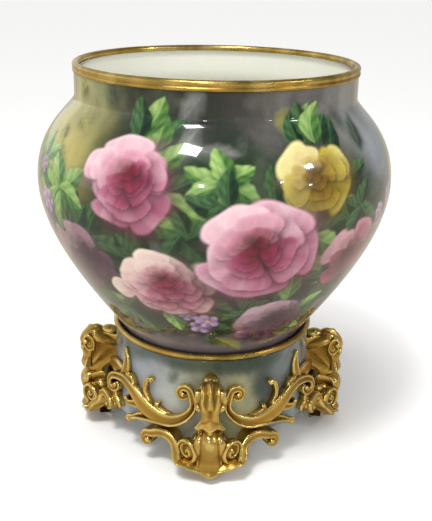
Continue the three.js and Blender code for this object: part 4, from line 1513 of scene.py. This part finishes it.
# Disc with a raised rim, a hook that winds in from it and an eye in the middle
def voluteShell(centre, facing, up, radii, thickness, relief, sense, hookShare=0.85):
    facing = np.array(facing, float) / np.linalg.norm(facing)
    up = np.array(up, float) - np.dot(up, facing) * facing
    up /= np.linalg.norm(up)
    side = np.cross(facing, up) * sense
    turn = np.linspace(0, 2 * math.pi, volute["around"], endpoint=False)
    (start, width), (rim, rimWidth) = volute["hook"], volute["rim"]
    hook = start - volute["hookWind"] * turn / (2 * math.pi)
    rows = []
    for share in np.linspace(0.03, 1, volute["rings"]):
        wave = hookShare * np.exp(-((share - hook) / width) ** 2)
        wave = np.maximum(wave, math.exp(-((share - rim) / rimWidth) ** 4))
        eye = hookShare * math.exp(-(share / volute["eye"]) ** 4)
        rows.append((share, thickness + relief * np.maximum(wave, eye) - volute["edge"] * share ** 14))
    rows += [(1, np.full(len(turn), 0.5 * thickness)), (1, np.zeros(len(turn)))]
    placed = []
    for share, height in rows:
        lengthways = radii[1] * share * np.cos(turn)[:, None] * up
        sideways = radii[0] * share * np.sin(turn)[:, None] * side
        placed.append(np.array(centre) + lengthways + sideways + height[:, None] * facing)
    return loft(np.array(placed))


def leanBall(across, reach, height, radii, lean):
    points, faces = ball((0, 0, 0), radii)
    angle = math.radians(lean) * np.sign(across)
    cos, sin = math.cos(angle), math.sin(angle)
    spin = np.array([[cos, 0, -sin], [0, 1, 0], [sin, 0, cos]])
    return points @ spin.T + footPlace(across, reach, height), faces


# Flared skirt below the head, with a wavy lower edge
def collarShell():
    s = acrossShares(61)
    wave = bumps(s, foot["collarWaves"])
    rings = []
    start, grow = foot["collarStart"]
    for height, half, reach in smoothCurve(foot["collar"], 40):
        drop = wave * np.clip((start - height) / grow, 0, 1)
        across = np.concatenate([s * half, [0.8 * half, -0.8 * half]])
        front = reach - foot["collarCurve"] * s ** 2 - 0.6 * drop
        distance = np.concatenate([front, [foot["collarBack"]] * 2])
        rings.append(footPlace(across, distance, height + np.concatenate([drop, [0, 0]])))
    return loft(np.array(rings))


def buildConsole():
    shells = [
        sweepInPlane(foot["head"], 110, 41, headFront),
        flankShell(foot["flank"], foot["flankHalf"], foot["flankDish"], foot["flankFolds"]),
        collarShell(),
    ]
    for hand in (1, -1):
        centre = footPlace(hand * foot["earAcross"], *foot["ear"])
        shells.append(voluteShell(centre, (hand, 0, 0), (0, -0.2, 1), foot["earRadii"], foot["earThickness"],
                                  foot["earRelief"], -hand, 0.5))
        shells += [leanBall(hand * across, *rest) for across, *rest in foot["tips"]]
    *place, size = foot["neckBead"]
    shells.append(ball(footPlace(*place), (size,) * 3))
    return fused(shells, foot["grain"], foot["smoothing"])


crest = {"reach": 95, "height": 84.6, "ball": (6.1, 8, 4.8), "cup": (7, 8.6, 2.6), "drop": 3.2, "grain": 0.4}


def buildCrest():
    reach, height = crest["reach"], crest["height"]
    shells = [ball(footPlace(0, reach, height), crest["ball"], 18, 28),
              ball(footPlace(0, reach, height - crest["drop"]), crest["cup"], 16, 28)]
    return fused(shells, crest["grain"], 1)


shell = {
    "rows": [
        # distance, height, half width, half width of the middle lobe
        (105, 44.6, 7.5, 5), (110.6, 45.4, 9.6, 5.8), (115.6, 44.2, 11.6, 6.5), (119.2, 41.4, 12.8, 6.9),
        (121, 37.6, 13.3, 7.1), (121.2, 33.4, 13.4, 7.3), (120.3, 29.2, 13, 7.6), (119, 25.2, 12.6, 8),
        (118.3, 21.6, 12.2, 8.4), (118.6, 18.4, 11.6, 9), (119.6, 15.6, 10.8, 10), (120.8, 13, 10, 11.4),
        (122.2, 10.6, 9, 12), (123.2, 8.6, 7.4, 12), (123.2, 7, 5.2, 12), (122, 6, 2.6, 12),
    ],
    "depth": 7.0,
    "groove": 1.9,
    "crown": 3.4,
    "core": [(98, 14), (98, 43.6), (110, 44), (116, 40), (117, 32), (113.6, 24), (113, 14)],
    "coreHalf": 10.5,
    "coreDish": 0.5,
    "spiral": (18.2, 110.8, 26.4),
    "spiralRadius": 11.2,
    "spiralYaw": 47,
    "spiralSink": 3.4,
    "spiralThickness": 4.4,
    "spiralRelief": 2.1,
    "filling": ((10.5, 103, 27), (6, 10, 11)),  # place and radii of a ball behind each spiral
}


# Middle lobe, side lobes and tongue of the shell in one sweep
def shellFront(s, across, half, lobe):
    inLobe = np.clip(1 - (across / lobe) ** 2, 0, 1)
    beside = np.clip((np.abs(across) - lobe) / max(half - lobe, 0.5), 0, 1)
    depth = shell["groove"] * np.clip((half - lobe + 2) / 4, 0, 1)
    front = -shell["crown"] * s ** 2 - 1.2 * np.abs(s) ** 12
    return front + depth * (inLobe + 2.4 * beside * (1 - beside)), shell["depth"]


def buildShell():
    shells = [
        sweepInPlane(shell["rows"], 120, 61, shellFront),
        flankShell(shell["core"], shell["coreHalf"], shell["coreDish"]),
    ]
    yaw = math.radians(shell["spiralYaw"])
    size, (place, radii) = shell["spiralRadius"], shell["filling"]
    for hand in (1, -1):
        facing = np.array([hand * math.cos(yaw), -math.sin(yaw), 0.0])
        across, *rest = shell["spiral"]
        start = footPlace(hand * across, *rest) - shell["spiralSink"] * facing
        shells.append(voluteShell(start, facing, (0, 0, 1), (size, size), shell["spiralThickness"],
                                  shell["spiralRelief"], -hand))
        shells.append(ball(footPlace(hand * place[0], *place[1:]), radii))
    return fused(shells, foot["grain"], foot["smoothing"])


toe = {
    "rows": [
        # height and reach in the middle, half width, how far its corners rise
        (20, 108, 17, 2), (17.4, 112.4, 20.6, 4), (14.6, 116.6, 24, 5.8), (12, 119.6, 26.8, 7),
        (10, 120.4, 27.4, 8), (8.6, 118, 25.6, 8.4), (8.4, 112, 20, 8.4), (8, 106.6, 11, 3),
        (4, 105.4, 7.6, 0), (0.7, 105.4, 7.4, 0), (0, 105, 7, 0),
    ],
    "sweep": 0.0016,
    "back": 96.0,
    "wingBack": 108.0,
    "inner": (6.6, 0.86),  # half width of the part that runs back, in millimetres and against the whole
    "scallop": (0.3, 9, 8),  # depth, where the scallops start and their pitch
    "rise": (6, 21, 1.4),  # where the corners start to rise, over what width and how sharply
    "smoothing": 8,
}


def buildToe():
    s = acrossShares(61)
    rings = []
    for height, reach, half, rise in smoothCurve(toe["rows"], 60):
        across = s * half
        out = np.abs(across)
        depth, start, pitch = toe["scallop"]
        scallop = depth * (np.cos(2 * math.pi * (out - start) / pitch) - 1) * 0.5 * (out > start)
        front = reach + scallop - toe["sweep"] * half * half * s ** 2
        start, width, power = toe["rise"]
        lift = rise * np.clip((out - start) / width, 0, 1) ** power
        wing = min(toe["wingBack"], front[0] - 1.5)
        inner = min(toe["inner"][0], toe["inner"][1] * half)
        full = np.concatenate([across, [0.97 * half, inner, inner, -inner, -inner, -0.97 * half]])
        distance = np.concatenate([front, [wing, wing - 2, toe["back"], toe["back"], wing - 2, wing]])
        tall = height + np.concatenate([lift, [lift[-1], 0, 0, 0, 0, lift[0]]])
        rings.append(footPlace(full, distance, tall))
    return fused([loft(np.array(rings))], foot["grain"], toe["smoothing"])


# Painted light and shade on the feet's gilding
footPaintedLight = {
    "toeShade": (3, 10),  # heights between which painted shade darkens a toe towards the floor
    "neckShade": (0.4, 99, 10, 66, 14, 4),  # painted shade on the console's flanks: share, reach and spread, height and spread, least across
    "lobeHighlight": (0.9, 37, 6, 5),  # painted highlight on the shell's middle lobe: least ridge, height and spread, half width
    # the crest bead's gilding is painted lighter all over: its least ridge share
    "crest": 0.3,
}


# Painted light on a foot's gilding, on top of its ridges and hollows: painted shade on the toe towards the
# floor and on the console's flanks, a painted highlight on the shell's middle lobe, and a crest bead painted
# lighter
def footRidgeAndPaintedLight(kind, shape):
    ridge = ridgeShare(*shape)
    across, reach, height = np.abs(shape[0][:, 0]), -shape[0][:, 1], shape[0][:, 2]
    if kind == "toe":
        # Painted shade towards the floor
        return ridge * softStep(height, *footPaintedLight["toeShade"])
    if kind == "console":
        # Painted shade on the flanks
        share, out, deep, up, tall, least = footPaintedLight["neckShade"]
        shade = np.exp(-((reach - out) / deep) ** 2 - ((height - up) / tall) ** 2)
        return ridge * (1 - share * shade * (across > least))
    if kind == "foot_roll":
        # Painted highlight on the middle lobe
        share, up, tall, wide = footPaintedLight["lobeHighlight"]
        return np.maximum(ridge, share * np.exp(-((height - up) / tall) ** 2 - (across / wide) ** 4))
    # Crest bead painted lighter
    return footPaintedLight["crest"] + (1 - footPaintedLight["crest"]) * ridge


def addFeet():
    shapes = {
        "console": ("consoleScroll", buildConsole()),
        "crest_bead": ("crestBead", buildCrest()),
        "foot_roll": ("footShell", buildShell()),
        "toe": ("toeFlange", buildToe()),
    }
    for kind, (label, shape) in shapes.items():
        ridge = footRidgeAndPaintedLight(kind, shape)
        for name, angle in (("front", 0), ("left", -90), ("back", 180), ("right", 90)):
            addPiece(f"{label}_{name}", turned(shape, angle), gilt, "stand",
                     [f"{kind}_{name}"], ridge)


addFeet()
print("feet made")
